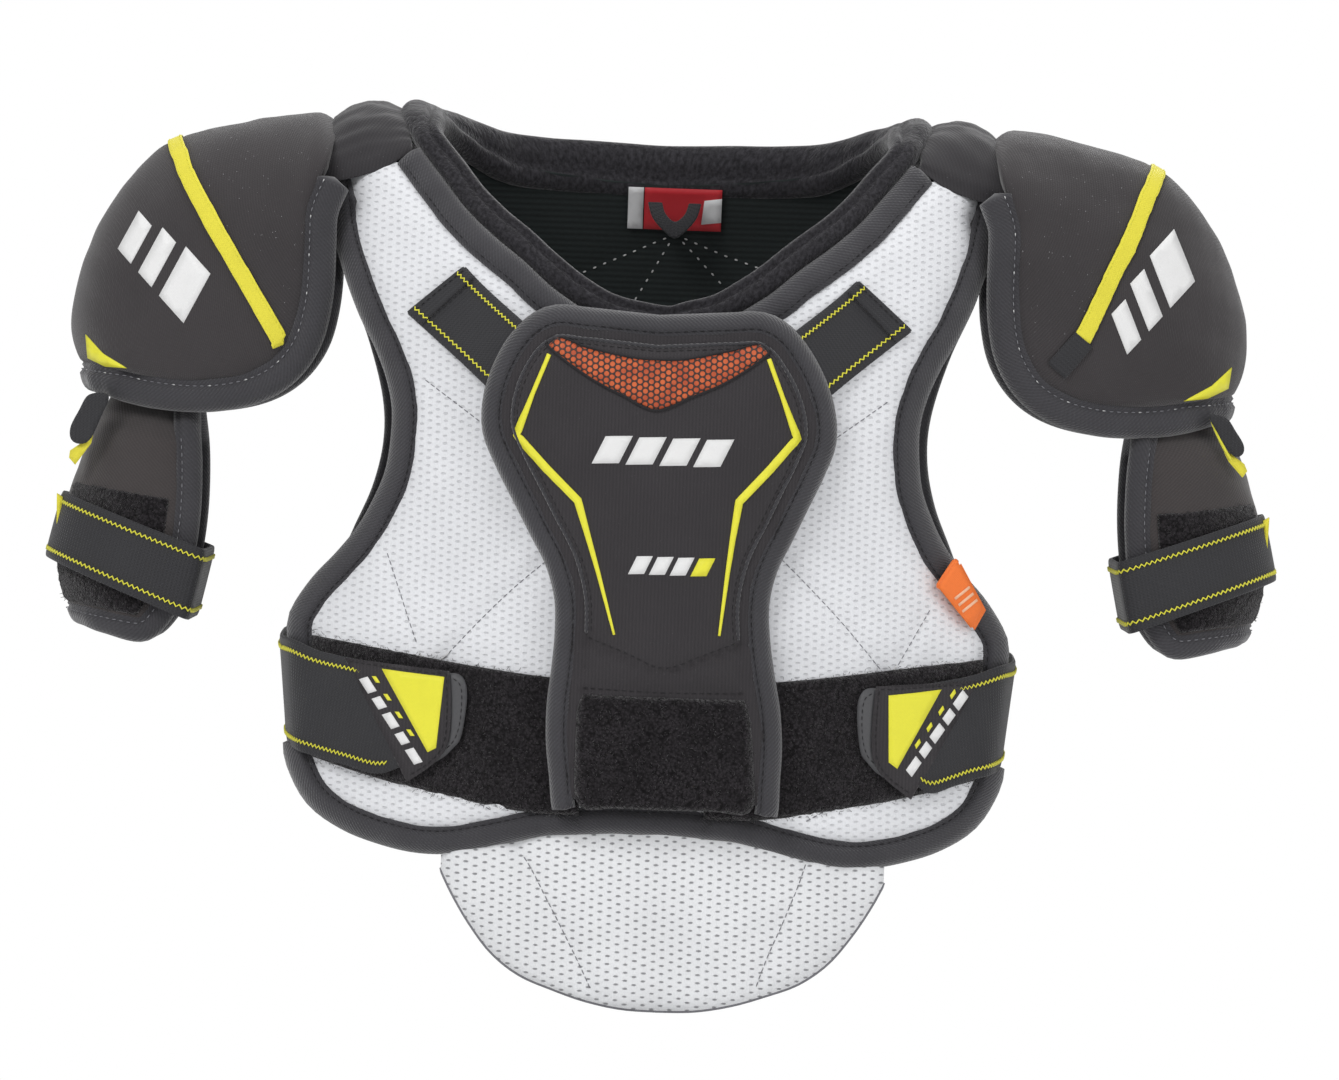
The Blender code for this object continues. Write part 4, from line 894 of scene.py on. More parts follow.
# ---------------------------------------------------------------- loop bands, upper straps, belts
loop_edge = [(-133, -189.5), (-100, -194), (-72, -198), (-46, -201), (-24, -202.5)]
loop_low = [(-24, -254.6), (-46, -254.0), (-70, -250.5), (-93, -246.2), (-112, -241.8), (-129.5, -237)]
for side, tag in ((-1, "left"), (1, "right")):
    field = mirrored(chain([(-131, -190)], run(loop_edge, 4)[1:], run(loop_low, 4)), side)
    flat, tris = flat_mesh(field, 1.9)
    edge = distance(flat, field, True)[0]
    up = 1.5 + 1.5 * np.clip(edge / 1.6, 0, 1) ** 0.5 + 0.32 * soft_noise(flat, 3.1, 21, 3) + 0.2 * soft_noise(flat, 24, 22)
    piece = slab("loop_band_" + tag, flat, tris, on_front(flat, 0) - np.stack([0 * up, up, 0 * up], 1), on_front(flat, 0.2), PILE, "torso")
    belongs(piece, "loop_pile", "loop_field_" + tag)
    loop_skin = skin_of(piece)
    # A fringe of broken loops stands along the band's edges.
    rng = random.Random(5 + side)
    hairs = []
    ends = np.vstack([field, field[:1]])
    for p in catmull(ends[:-1], 420, True):
        x, z = p[0] + rng.uniform(-0.5, 0.5), p[1] + rng.uniform(-0.9, 0.9)
        base = np.array([x, float(front_y(x, z)) - 2.2, z])
        way = np.array([rng.uniform(-1, 1), rng.uniform(-1.2, -0.2), rng.uniform(-1, 1)])
        hairs.append([base, base + way * 0.8, base + way * 1.3 + [0, 0.4, rng.uniform(-.5, .5)]])
    for _ in range(900):
        i = rng.randrange(len(flat))
        x, z = flat[i] + [rng.uniform(-0.9, 0.9), rng.uniform(-0.9, 0.9)]
        base = np.array([x, float(front_y(x, z)) - up[i] + 0.1, z])
        way = np.array([rng.uniform(-1, 1), rng.uniform(-0.9, -0.3), rng.uniform(-1, 1)])
        hairs.append([base, base + way * 0.6, base + way * 0.8 + [rng.uniform(-.6, .6), 0.5, rng.uniform(-.6, .6)]])
    tubes("loop_fibres_" + tag, hairs, 0.13, PILE, parent=piece, sides=3)

    # Upper chest strap: sewn to the chest, then in under the sternum guard.
    top = catmull([(-75.6, -44.6, -0.4), (-69, -51, -1.2), (-60.8, -58, -3.0), (-52.3, -65, -5.6), (-47, -70, -6.6)], 40)
    low = catmull([(-97.6, -63.6, -0.4), (-87, -72.4, -1.2), (-76, -81.6, -3.0), (-66.2, -90.2, -5.6), (-60.5, -95.5, -6.6)], 40)
    put = lambda e: np.stack([-side * e[:, 0], front_y(e[:, 0], e[:, 1]) + e[:, 2] - 2.4, e[:, 1]], 1)
    A, B = put(top), put(low)
    piece = strip("chest_strap_" + tag, A, B, 1.15, ELASTIC, "torso")
    belongs(piece, "black_elastic", "upper_chest_strap_" + tag)
    length, width = length_of(A), float(np.linalg.norm(A[0] - B[0]))
    out_way = -float(np.sign(frames(A, B)[2][:, 1].mean()))
    lines = []
    for at in (-0.74, 0.74):
        u, w = zigzag_t(length * 0.95, 2.0, 0.55)
        lines.append(on_strip(A, B, 0.012 + u / length, at + w / (width / 2), np.where(0.012 + u / length < 0.155, 2.4, 1.4) * out_way))
    tubes("chest_strap_zigzag_" + tag, lines, 0.34, YELLOW_THREAD, parent=piece)
    # The folded and sewn outer end.
    lines = []
    for t0 in (0.035, 0.16):
        s = np.linspace(-0.9, 0.9, 40)
        lines += dash_lines(on_strip(A, B, np.full(40, t0), s, np.full(40, 2.4 * out_way)), 1.7, 1.1)
    tubes("chest_strap_bar_" + tag, lines, 0.22, DARK_THREAD, parent=piece)
    C, D = on_strip(A, B, np.linspace(-0.0, 0.15, 8), np.full(8, -0.97), np.full(8, 1.4 * out_way)), on_strip(A, B, np.linspace(-0.0, 0.15, 8), np.full(8, 0.97), np.full(8, 1.4 * out_way))
    strip("chest_strap_fold_" + tag, C, D, 0.8, ELASTIC, parent=piece)


# ---------------------------------------------------------------- belts
def belt_offset(x):
    return 5.9


for side, tag in ((-1, "left"), (1, "right")):
    rear_a = [(-130, 50, -185.5), (-138.5, 30, -187), (-143.2, 8, -188.5), (-144.2, -13.6, -190)]
    rear_b = [(-129.5, 49, -224), (-135.5, 29, -227), (-139.2, 8, -229), (-139.6, -13.6, -231)]
    f = lambda x, z: float(front_y(x, z)) - 5.9
    fore_a = [(-143.8, -28, -190.6), (-142, -43, -191.2), (-137.6, f(-137.6, -192) + 0.8, -192)] + [(x, f(x, z), z) for x, z in zip((-128, -113, -98, -84) if side == -1 else (-128, -117.3, -106.7, -97), (-195.5, -198, -199.8, -201))]
    fore_b = [(-139.6, -28, -231.6), (-138.6, -43, -233), (-134.8, f(-134.8, -235) + 0.3, -235)] + [(x, f(x, z), z) for x, z in zip((-127, -116, -103, -93) if side == -1 else (-127, -120.3, -111.7, -106), (-237, -239.5, -242.2, -238.5))]
    A, B = catmull(rear_a + fore_a, 130), catmull(rear_b + fore_b, 130)
    A[:, 0] *= -side
    B[:, 0] *= -side
    strap = strip("belt_" + tag, A, B, 1.1, ELASTIC)
    length, width = length_of(A), 41.0
    lines = []
    for at in (-0.80, 0.80):
        u, w = zigzag_t(length * ((0.84 if at < 0 else 0.93) if side == -1 else (0.88 if at < 0 else 0.96)), 2.0, 0.6)
        lines.append(on_strip(A, B, 0.02 + u / length, at + w / (width / 2), np.full(len(u), 1.35 * -side)))
        lines.append(on_strip(A, B, 0.02 + u / length, at + w / (width / 2), np.full(len(u), -1.35 * -side)))
    zig = tubes("belt_zigzag_" + tag, lines, 0.36, YELLOW_THREAD)
    for piece in (strap, zig):
        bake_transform(piece, "torso", "belt_end_" + tag, start=(-side * -0.1415, -0.0085, -0.21), end=(-side * -0.1415, -0.0215, -0.21))
    belongs(strap, "black_elastic", "belt_strap_" + tag, "belt_front_" + tag)
    # Hook patch sewn on the belt's end, its rubbery tab, and the printed corner.
    m = lambda pts: mirrored(pts, side) + (np.array([13.0, 0.0]) if side == 1 else 0.0)   # the right one is fastened further out
    patch = m(chain(run([(-117.6, -197.7), (-96, -199.4), (-76, -200.9)], 4), run([(-76, -200.9), (-75.0, -214), (-75.6, -228.5), (-80.5, -236.5), (-91.2, -244.6)], 4), run([(-91.2, -244.6), (-104, -222), (-117.6, -197.7)], 4)))
    flat, tris = flat_mesh(patch, 2.2)
    edge = distance(flat, patch, True)[0]
    up = 7.0 + crown(edge, 2.5, 0.9) + 0.1 * soft_noise(flat, 20, 31)
    cover = slab("belt_patch_" + tag, flat, tris, on_front(flat, 0) - np.stack([0 * up, up, 0 * up], 1), on_front(flat, -7.05), GUARD_KNIT, "belt_end_" + tag)
    tab = m(catmull([(-78.5, -202), (-73, -201.8), (-70.2, -204), (-69, -208.5), (-69.2, -216), (-70.8, -226.5), (-73.5, -230.5), (-79, -235.5), (-86, -236), (-86, -204)], 60, True))
    flat, tris = flat_mesh(tab, 2.0)
    edge = distance(flat, tab, True)[0]
    up = 5.3 + crown(edge, 1.2, 0.9)
    piece = slab("belt_tab_" + tag, flat, tris, on_front(flat, 0) - np.stack([0 * up, up, 0 * up], 1), on_front(flat, -4.2), RUBBER, "belt_end_" + tag)
    belongs(piece, "grey_rubber", "belt_hook_tab_" + tag)
    tab_skin = skin_of(piece)
    rim_line = m(catmull([(-74.5, -203.8), (-71.8, -206), (-70.9, -212), (-71.6, -222), (-74, -228.5), (-79, -233)], 40))
    tubes("belt_tab_stitches_" + tag, dash_lines(lay(tab_skin, rim_line, 0.1), 1.6, 1.0), 0.2, DARK_THREAD, parent=piece)
    patch_skin = skin_of(cover)
    tri = m([(-102.5, -201.3), (-78.0, -203.2), (-80.2, -230.8), (-83.4, -232.6)]) if side == -1 else np.array([(93.9, -204.3), (104, -203.1), (114.5, -201.6), (98.3, -232.6), (94.9, -230.2)])
    loop = catmull(tri, 3 * len(tri)) if False else np.vstack([np.linspace(a, b, 8, endpoint=False) for a, b in zip(tri, np.roll(tri, -1, axis=0))])
    flat, tris = flat_mesh(loop, 2.2)
    top = lay(patch_skin, flat, 0.28)
    slab("belt_print_" + tag, flat, tris, top, lay(patch_skin, flat, -0.1), YELLOW_PRINT, parent=cover)
    # Generic slanted bars in place of the printed words.
    bars, fine = [], []
    for row, keep in ((0, bars), (1, fine)):
        for k in range(5):
            t = k / 4
            if side == -1:
                x0, z0 = -108.0 + 19.0 * t, -207.5 - 26.5 * t
                way = np.array([0.80, 0.60])
            else:
                x0, z0 = 122.0 - 17.5 * t, -206.0 - 26.0 * t
                way = np.array([-0.80, 0.60])
            w, h = ((5.0 if k % 2 else 6.6), 1.7) if row == 0 else (3.0, 0.65)
            x0, z0 = np.array([x0, z0]) + way * (3.9 if row else 0.0)
            if row and k == 4:
                continue
            ang = -0.95 if side == -1 else 0.98
            c, s = math.cos(ang), math.sin(ang)
            corners = [(-w / 2, -h), (w / 2, -h), (w / 2 + 0.9, h), (-w / 2 + 0.9, h)]
            loop = np.array([(x0 + c * a - s * b, z0 + s * a + c * b) for a, b in corners])
            loop = np.vstack([np.linspace(a, b, 4, endpoint=False) for a, b in zip(loop, np.roll(loop, -1, axis=0))])
            if inside(loop, patch).all():
                keep.append(flat_mesh(loop, 1.6))
    if fine:
        base, all_flat, all_tris = 0, [], []
        for flat, tris in fine:
            all_flat.append(flat)
            all_tris += [tuple(i + base for i in t) for t in tris]
            base += len(flat)
        flat = np.vstack(all_flat)
        slab("belt_fine_bars_" + tag, flat, all_tris, lay(patch_skin, flat, 0.3), lay(patch_skin, flat, -0.1), YELLOW_PRINT, parent=cover)
    if bars:
        base, all_flat, all_tris = 0, [], []
        for flat, tris in bars:
            all_flat.append(flat)
            all_tris += [tuple(i + base for i in t) for t in tris]
            base += len(flat)
        flat = np.vstack(all_flat)
        slab("belt_bars_" + tag, flat, all_tris, lay(patch_skin, flat, 0.26), lay(patch_skin, flat, -0.1), WHITE_PRINT, parent=cover)
    hem_line = m(chain(run([(-115.5, -199.2), (-96, -200.9), (-77.4, -202.3)], 3), run([(-77.4, -202.3), (-76.6, -214), (-77.2, -228), (-82, -235.8), (-91.2, -242.4)], 3)))
    tubes("belt_patch_stitches_" + tag, dash_lines(lay(patch_skin, catmull(hem_line, 120), 0.08), 1.8, 1.0), 0.2, DARK_THREAD, parent=cover)

# ---------------------------------------------------------------- sternum guard
left = run(STERNUM, 3.4)
guard_loop = sway(chain(left, flip(left)))
flat, tris = flat_mesh(guard_loop, 2.5)
edge = distance(flat, guard_loop, True)[0]
PIPING = run([(0, -75.5), (-20, -74.2), (-38, -72.5), (-47.5, -79), (-52.5, -89), (-54, -101), (-50.5, -114), (-44, -128), (-37.5, -142), (-31.5, -156), (-27.8, -170), (-27.6, -184), (-29.5, -200)], 4)
RIM_LINE = run(STERNUM, 4)
RIM_LINE = sway(chain(flip(RIM_LINE), RIM_LINE))
PIPING = shifted(RIM_LINE, 5.8)
PIPING = PIPING[PIPING[:, 1] > -201]
FOLD = sway(catmull([(-28.5, -187), (-14, -192.5), (0, -197.8), (14, -193), (30, -186.5)], 40))
SHELF = sway(catmull([(-31, -206.2), (0, -207.2), (31, -206.2)], 24))
within = inside(flat, np.vstack([PIPING, [(-21, -262), (39, -262)]]))
pip = distance(flat, PIPING)[0]
up = 11.9 + crown(edge, 7, 0.8) + np.where(within, crown(pip, 10, 2.4), 0) * np.clip((flat[:, 1] + 204) / 6, 0, 1)
up -= sewn(flat, [(PIPING, 0.9, 1.5), (FOLD, 2.1, 2.2), (SHELF, 1.2, 1.4)], 0.16)
below = (flat[:, 1] < np.interp(flat[:, 0], FOLD[:, 0], FOLD[:, 1])) & (flat[:, 1] > -207)
up -= np.where(below & within, 0.9, 0)
up += 0.25 * soft_noise(flat, 34, 41) + 0.12 * soft_noise(flat, 11, 42)
back_in = -3.0 - 0.0 * up
zero = 0 * up
sternum = slab("sternum_pad", flat, tris, on_front(flat, 0) - np.stack([zero, up, zero], 1), on_front(flat, -3.2), (GUARD_KNIT, LINER, BINDING), "sternum_guard")
belongs(sternum, "charcoal_knit", "sternum_cover", "sternum_foam", "sternum_plate", pad=0.7)
sternum_skin = skin_of(sternum)
rim = run(STERNUM + [(-37.0, -251.5)], 3.0)
rim = sway(chain(flip(rim), rim))
A, B = on_front(shifted(rim, 2.6), -8.6), on_front(shifted(rim, -6.6), -6.8)
size = length_of(A)
piece = strip("sternum_roll", A, B, 6.0, BINDING, "sternum_guard", profile=ROLL, up=(0, -1, 0), bend=lumpy(size, 44), nose=0.1)
belongs(piece, "black_fleece", "sternum_binding")
t = np.linspace(0.005, 0.995, int(size))
tubes("sternum_roll_stitches", dash_lines(on_strip(A, B, t, np.full(len(t), -0.52), np.full(len(t), 4.5), up=(0, -1, 0)), 1.9, 1.3), 0.2, DARK_THREAD, parent=piece)
tubes("sternum_piping", [lay(sternum_skin, catmull(PIPING[4:-4], 260), 0.15)], 0.75, BINDING, parent=sternum, sides=7)
lines = dash_lines(lay(sternum_skin, shifted(catmull(PIPING[4:-4], 260), 1.8), 0.1), 1.8, 1.2)
lines += dash_lines(lay(sternum_skin, FOLD + [0, 1.6], 0.1), 1.8, 1.2) + dash_lines(lay(sternum_skin, SHELF + [0, 1.4], 0.1), 1.8, 1.2)
tubes("sternum_stitches", lines, 0.2, DARK_THREAD, parent=sternum)


def decal(name, loop, skin, look, parent, lift=0.25, pitch=2.2, close=3.0, uv=None):
    """A thin print or patch that follows the surface below it."""
    loop = np.asarray(loop, float)
    parts = []
    for a, b in zip(loop, np.roll(loop, -1, axis=0)):
        count = max(1, int(round(np.linalg.norm(b - a) / close)))
        parts.append(np.linspace(a, b, count, endpoint=False))
    loop = np.vstack(parts)
    area = np.sum(loop[:, 0] * np.roll(loop[:, 1], -1) - np.roll(loop[:, 0], -1) * loop[:, 1])
    if area < 0:
        loop = loop[::-1]
    flat, tris = flat_mesh(loop, pitch)
    return slab(name, flat, tris, lay(skin, flat, lift), lay(skin, flat, -0.15), look, parent=parent)


window = [(-43.0, -72.6), (-39.6, -68.8), (-28, -72.4), (-11, -75.6), (0, -76.2), (11, -75.6), (28.5, -71.8), (39.6, -68.8), (43.0, -72.6), (28, -83.6), (14, -90.2), (0, -95.8), (-13.6, -90.4), (-27.6, -83.5)]
window = [(x * 0.985, z - 1.5) for x, z in window]
decal("sternum_window", window, sternum_skin, HONEY, sternum, 0.3, 2.2, 2.2)
frame_line = lay(sternum_skin, catmull(window, 160, True), 0.3)
tubes("sternum_window_edge", [np.vstack([frame_line, frame_line[:2]])], 0.55, DARK_THREAD, parent=sternum)
for side, tag in ((-1, "left"), (1, "right")):
    if side == -1:
        centre = [(-41.8, -77.2, 1.5), (-47.6, -92.5, 1.6), (-53.2, -108.6, 3.0), (-41, -121.3, 3.1), (-28.7, -133.0, 3.1), (-24.5, -146, 2.2), (-20, -160, 1.6), (-12.9, -184.0, 0.9)]
    else:
        centre = [(42.6, -76.0, 1.5), (48.6, -91, 1.6), (54.6, -106.0, 3.0), (44.5, -118.5, 3.1), (33.2, -131.2, 3.1), (31.2, -146, 2.2), (29.6, -160, 1.6), (27.4, -183.0, 0.9)]
    pts = np.array(centre)
    dense = np.vstack([np.linspace(a, b, 8, endpoint=False) for a, b in zip(pts, pts[1:])] + [pts[-1:]])
    A2, B2 = shifted(dense[:, :2], dense[:, 2] / 2), shifted(dense[:, :2], -dense[:, 2] / 2)
    decal("sternum_line_" + tag, np.vstack([A2, B2[::-1]]), sternum_skin, YELLOW_PRINT, sternum, 0.5, 2.0, 3.0)
# Generic slanted bars stand where the guard carries its printed words.
marks = []
for k, x in enumerate((-24, -11, 2, 15)):
    marks.append([(x, -118.5), (x + 10.5, -118.0), (x + 15.5, -107.3), (x + 5.0, -107.8)])
for k, loop in enumerate(marks):
    decal("sternum_mark_%d" % k, loop, sternum_skin, WHITE_PRINT, sternum, 0.22, 3.0, 3.0)
for k, x in enumerate((-8.5, -0.5, 7.5, 15.5)):
    decal("sternum_small_mark_%d" % k, [(x, -160.5), (x + 6.2, -160.2), (x + 9.4, -153.2), (x + 3.2, -153.5)], sternum_skin, WHITE_PRINT if k < 3 else YELLOW_PRINT, sternum, 0.22, 3.0, 3.0)

low = [(-31, -207.4), (-33.5, -214), (-34.2, -228), (-33.4, -250.0), (-18, -250.8), (0, -251)]
panel_loop = chain(run([(0, -207.6), (-17, -207.6), (-31, -207.4)], 3), run(low, 3))
panel_loop = sway(chain(panel_loop, flip(panel_loop)))
flat, tris = flat_mesh(panel_loop, 1.9)
edge = distance(flat, panel_loop, True)[0]
up = 12.6 + 1.7 * np.clip(edge / 1.8, 0, 1) ** 0.5 + 0.3 * soft_noise(flat, 3.1, 46, 3) + 0.25 * soft_noise(flat, 22, 47)
zero = 0 * up
piece = slab("sternum_loop", flat, tris, on_front(flat, 0) - np.stack([zero, up, zero], 1), on_front(flat, -11.6), PILE, "sternum_guard")
belongs(piece, "loop_pile", "sternum_loop_panel")
rng = random.Random(77)
hairs = []
for _ in range(700):
    i = rng.randrange(len(flat))
    x, z = flat[i] + [rng.uniform(-0.9, 0.9), rng.uniform(-0.9, 0.9)]
    base = np.array([x, float(front_y(x, z)) - up[i] + 0.1, z])
    way = np.array([rng.uniform(-1, 1), rng.uniform(-0.9, -0.3), rng.uniform(-1, 1)])
    hairs.append([base, base + way * 0.6, base + way * 0.8 + [rng.uniform(-.6, .6), 0.5, rng.uniform(-.6, .6)]])
tubes("sternum_loop_fibres", hairs, 0.13, PILE, parent=piece, sides=3)

# ---------------------------------------------------------------- belly flap
left = chain(run(BELLY, 4), run(BELLY_TOP, 4))
flap_loop = sway(chain(left, flip(left)))
flat, tris = flat_mesh(flap_loop, 2.7)
edge = distance(flat, flap_loop, True)[0]
FLAP_SEAMS = [(catmull([(-54, -262), (-44.5, -272), (-34.9, -288.3), (-22.3, -311.3), (-14, -328)], 30), 1.7, 2.8), (catmull([(66, -262), (63, -275), (56.0, -294), (50.3, -308), (45, -324)], 30), 1.1, 2.0)]
hem_far = distance(flat, low_hem := run([(-131, -236)] + HEM, 5) if False else chain(flip(run(HEM, 5)), run(HEM, 5)))[0]
up = (crown(edge, 13, 3.0) - sewn(flat, FLAP_SEAMS, 0.24) + 0.4 * soft_noise(flat, 44, 51) + 0.18 * soft_noise(flat, 16, 52)) * np.clip(edge / 3, 0, 1)
tuck = np.clip((flat[:, 1] + 284) / 22, 0, 1) * 3.4
base_y = front_y(flat[:, 0], np.maximum(flat[:, 1], -272)) + 2.2 + tuck
front = np.stack([flat[:, 0], base_y - up, flat[:, 1]], 1)
rear = np.stack([flat[:, 0], base_y + 6.2 * np.clip(0.35 + edge / 5, 0, 1) - 0.0, flat[:, 1]], 1)
flap = slab("belly_pad", flat, tris, front, rear, (BELLY_WHITE, LINER, BELLY_WHITE))
belongs(flap, "white_mesh", "belly_flap_cover", "belly_flap_foam", pad=0.5)
flap_skin = skin_of(flap)
lines = []
for line, _, _ in FLAP_SEAMS:
    keep = line[(distance(line, flap_loop, True)[0] > 3) & (line[:, 1] < -270)]
    lines += dash_lines(lay(flap_skin, catmull(keep, 70), 0.05), 2.0, 0.9)
flap_thread = tubes("belly_thread", lines, 0.24, GREY_THREAD)
# Overlocked edge: a fine dark cord of thread round the outline.
around = chain(flip(run(BELLY, 2.0)), run(BELLY, 2.0))[::-1] if False else np.vstack([flip(run(BELLY, 2.0)), run(BELLY, 2.0)[1:]])
around = sway(around[around[:, 1] < -268])
edge3 = np.stack([around[:, 0], front_y(around[:, 0], np.maximum(around[:, 1], -272)) + 3.6 + np.clip((around[:, 1] + 284) / 22, 0, 1) * 3.4, around[:, 1]], 1)
u = np.arange(len(edge3))
edge3[:, 1] += 0.25 * (u % 2)
flap_edge = tubes("belly_overlock", [edge3], 1.0, GREY_THREAD, sides=7)
for piece in (flap, flap_thread, flap_edge):
    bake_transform(piece, "torso", "belly_flap", start=(0, -0.093, -0.262), end=(0, -0.093, -0.274))

# ---------------------------------------------------------------- labels, hang loop, side tag
def small_slab(name, loop, y_of, thick, look, body, pitch=2.5, parent=None):
    loop = np.asarray(loop, float)
    loop = np.vstack([np.linspace(a, b, max(2, int(np.linalg.norm(b - a) / 2.5)), endpoint=False) for a, b in zip(loop, np.roll(loop, -1, axis=0))])
    flat, tris = flat_mesh(loop, pitch)
    y = y_of(flat[:, 0], flat[:, 1])
    return slab(name, flat, tris, np.stack([flat[:, 0], y, flat[:, 1]], 1), np.stack([flat[:, 0], y + thick, flat[:, 1]], 1), look, None if parent else body, parent)


inner_y = lambda x, z: back_y(x, z) - 13.6 + 0.5 * np.sin((x + 16) / 37 * math.pi)
piece = small_slab("neck_label_red", [(-8, -9.0), (23, -9.0), (23, -25.5), (-8, -25.5)][::1], inner_y, 0.8, RED, "torso")
belongs(piece, "label", "neck_label")
small_slab("neck_label_side", [(-14.5, -9.0), (-8.4, -9.0), (-8.4, -25.5), (-14.5, -25.5)], inner_y, 0.8, LABEL_WHITE, "torso", parent=piece)
small_slab("neck_label_band", [(16, -13.5), (23, -12.5), (23, -22.0), (15, -23.0)], lambda x, z: inner_y(x, z) - 0.3, 0.35, LABEL_WHITE, "torso", parent=piece)
hang = catmull([(-6.5, 51, -15), (-4.5, 49.5, -21), (0.5, 48.5, -26.5), (4.5, 48.3, -29), (8.5, 48.5, -26.5), (13, 49.5, -21), (14.8, 51, -15)], 60)
ins = catmull([(-0.8, 51.5, -15), (0.4, 50, -18.8), (2.6, 49.2, -21.4), (4.5, 49, -22.3), (6.4, 49.2, -21.4), (8.6, 50, -18.8), (9.8, 51.5, -15)], 60)
piece = strip("neck_hang_loop", hang, ins, 0.8, ELASTIC, "torso")
belongs(piece, "black_elastic", "hang_loop")

tag = [(111.7, -162.3), (119.0, -150.8), (130.4, -168.6), (127.6, -175.6), (125.0, -177.4)]
tag = [(111.7, -161.8), (118.8, -151.0), (129.9, -169.6), (125.4, -177.6)]
piece = small_slab("side_tag_flap", tag, lambda x, z: front_y(x, z) - 7.4 - 1.2 * np.sin((z + 178) / 27 * math.pi), 1.1, ORANGE, "torso", 2.2)
belongs(piece, "orange_tag", "side_tag")
small_slab("side_tag_under", [(113.5, -163.5), (120.6, -152.5), (131.2, -170.5), (127.0, -178.4)], lambda x, z: front_y(x, z) - 4.2, 0.9, ORANGE, "torso", 2.2, parent=piece)
A = np.array([(111.7, -161.8), (118.8, -151.0)])
fold_a = np.linspace((111.9, 0, -162.3), (118.8, 0, -151.2), 12)
for line, off in ((fold_a, 6.0),):
    line[:, 1] = front_y(line[:, 0], line[:, 2]) - off
    tubes("side_tag_fold", [line], 1.55, ORANGE, parent=piece, sides=9)
for k in range(3):
    s = 0.34 + 0.17 * k
    x, z = 118.5 + (127.8 - 118.5) * s, -158.5 + (-173.0 + 158.5) * s
    small_slab("side_tag_mark_%d" % k, [(x - 3.4, z - 2.4), (x - 2.8, z - 3.3), (x + 2.9, z + 1.5), (x + 2.3, z + 2.4)], lambda xx, zz: front_y(xx, zz) - 7.75 - 1.2 * np.sin((zz + 178) / 27 * math.pi), 0.3, TAG_LIGHT, "torso", 1.2, parent=piece)


# ---------------------------------------------------------------- round guards
class Dome:
    """Half-round guard: each section runs from a front edge over an outer line to the mirrored back edge."""

    def __init__(self, edge, top, depth, side, shift):
        place = lambda p: (-side * p[0] + side * shift[0], p[1] + shift[1])
        self.n = 121
        self.edge = catmull([place(p) for p in edge], self.n)
        self.top = catmull([place(p) for p in top], self.n)
        self.depth, self.side = depth, side

    def read(self, line, u):
        at = np.clip(u, 0, 1) * (self.n - 1)
        out = np.stack([np.interp(at, np.arange(self.n), line[:, k]) for k in range(2)], -1)
        first, last = (line[8] - line[0]) / 8, (line[-1] - line[-9]) / 8
        return out + np.minimum(u, 0)[..., None] * (self.n - 1) * first + np.maximum(u - 1, 0)[..., None] * (self.n - 1) * last

    def base(self, u, phi):
        u, phi = np.broadcast_arrays(np.asarray(u, float), np.asarray(phi, float))
        e, o = self.read(self.edge, u), self.read(self.top, u)
        flat = e + (o - e) * np.sin(phi)[..., None]
        return np.stack([flat[..., 0], -self.depth(u) * np.cos(phi), flat[..., 1]], -1)

    def normal(self, u, phi):
        u, phi = np.broadcast_arrays(np.asarray(u, float), np.asarray(phi, float))
        v = np.clip(u, 0.0, 1.0)
        t = self.read(self.top, np.minimum(v + 0.03, 1)) - self.read(self.top, np.maximum(v - 0.03, 0))
        t /= np.linalg.norm(t, axis=-1)[..., None]
        reach = np.linalg.norm(self.read(self.top, v) - self.read(self.edge, v), axis=-1)
        flat = np.stack([-t[..., 1], 0 * reach, t[..., 0]], -1) * self.side
        out = flat * (np.sin(phi) / reach)[..., None]
        out[..., 1] -= np.cos(phi) / self.depth(v)
        return out / np.linalg.norm(out, axis=-1)[..., None]

    def at(self, u, phi, lift=0.0):
        return self.base(u, phi) + self.normal(u, phi) * np.asarray(lift)[..., None]

    def find(self, flat, lo=0.0):
        """(u, phi) of the front face over flat (x, z) places."""
        us, ps = np.linspace(lo, 1, 240), np.linspace(0.0, math.pi / 2, 120)
        U, P = np.meshgrid(us, ps, indexing="ij")
        grid = self.base(U, P)[..., [0, 2]].reshape(-1, 2)
        near = [int(np.argmin(((grid - f) ** 2).sum(1))) for f in np.asarray(flat, float)]
        return U.ravel()[near], P.ravel()[near]

    def rim(self, count, arc, begin=0.0):
        """Path of (u, phi) down the front edge, round the outer end and up the back edge, with its frame."""
        u = np.concatenate([np.linspace(begin, 1, count), np.ones(arc), np.linspace(1, begin, count)])
        phi = np.concatenate([np.zeros(count), np.linspace(0, math.pi, arc + 2)[1:-1], np.full(count, math.pi)])
        p = self.base(u, phi)
        along = np.gradient(p, axis=0)
        along /= np.linalg.norm(along, axis=1)[:, None]
        n = self.normal(u, phi)
        # Frames are eased round the two corners, so that the roll doesn't kink there.
        for _ in range(10):
            along[1:-1] = (along[:-2] + along[1:-1] * 2 + along[2:]) / 4
            n[1:-1] = (n[:-2] + n[1:-1] * 2 + n[2:]) / 4
        for _ in range(3):
            p[1:-1] = (p[:-2] + p[1:-1] * 2 + p[2:]) / 4
        out = np.cross(along, n) * self.side
        out /= np.linalg.norm(out, axis=1)[:, None]
        n /= np.linalg.norm(n, axis=1)[:, None]
        return p, n, out


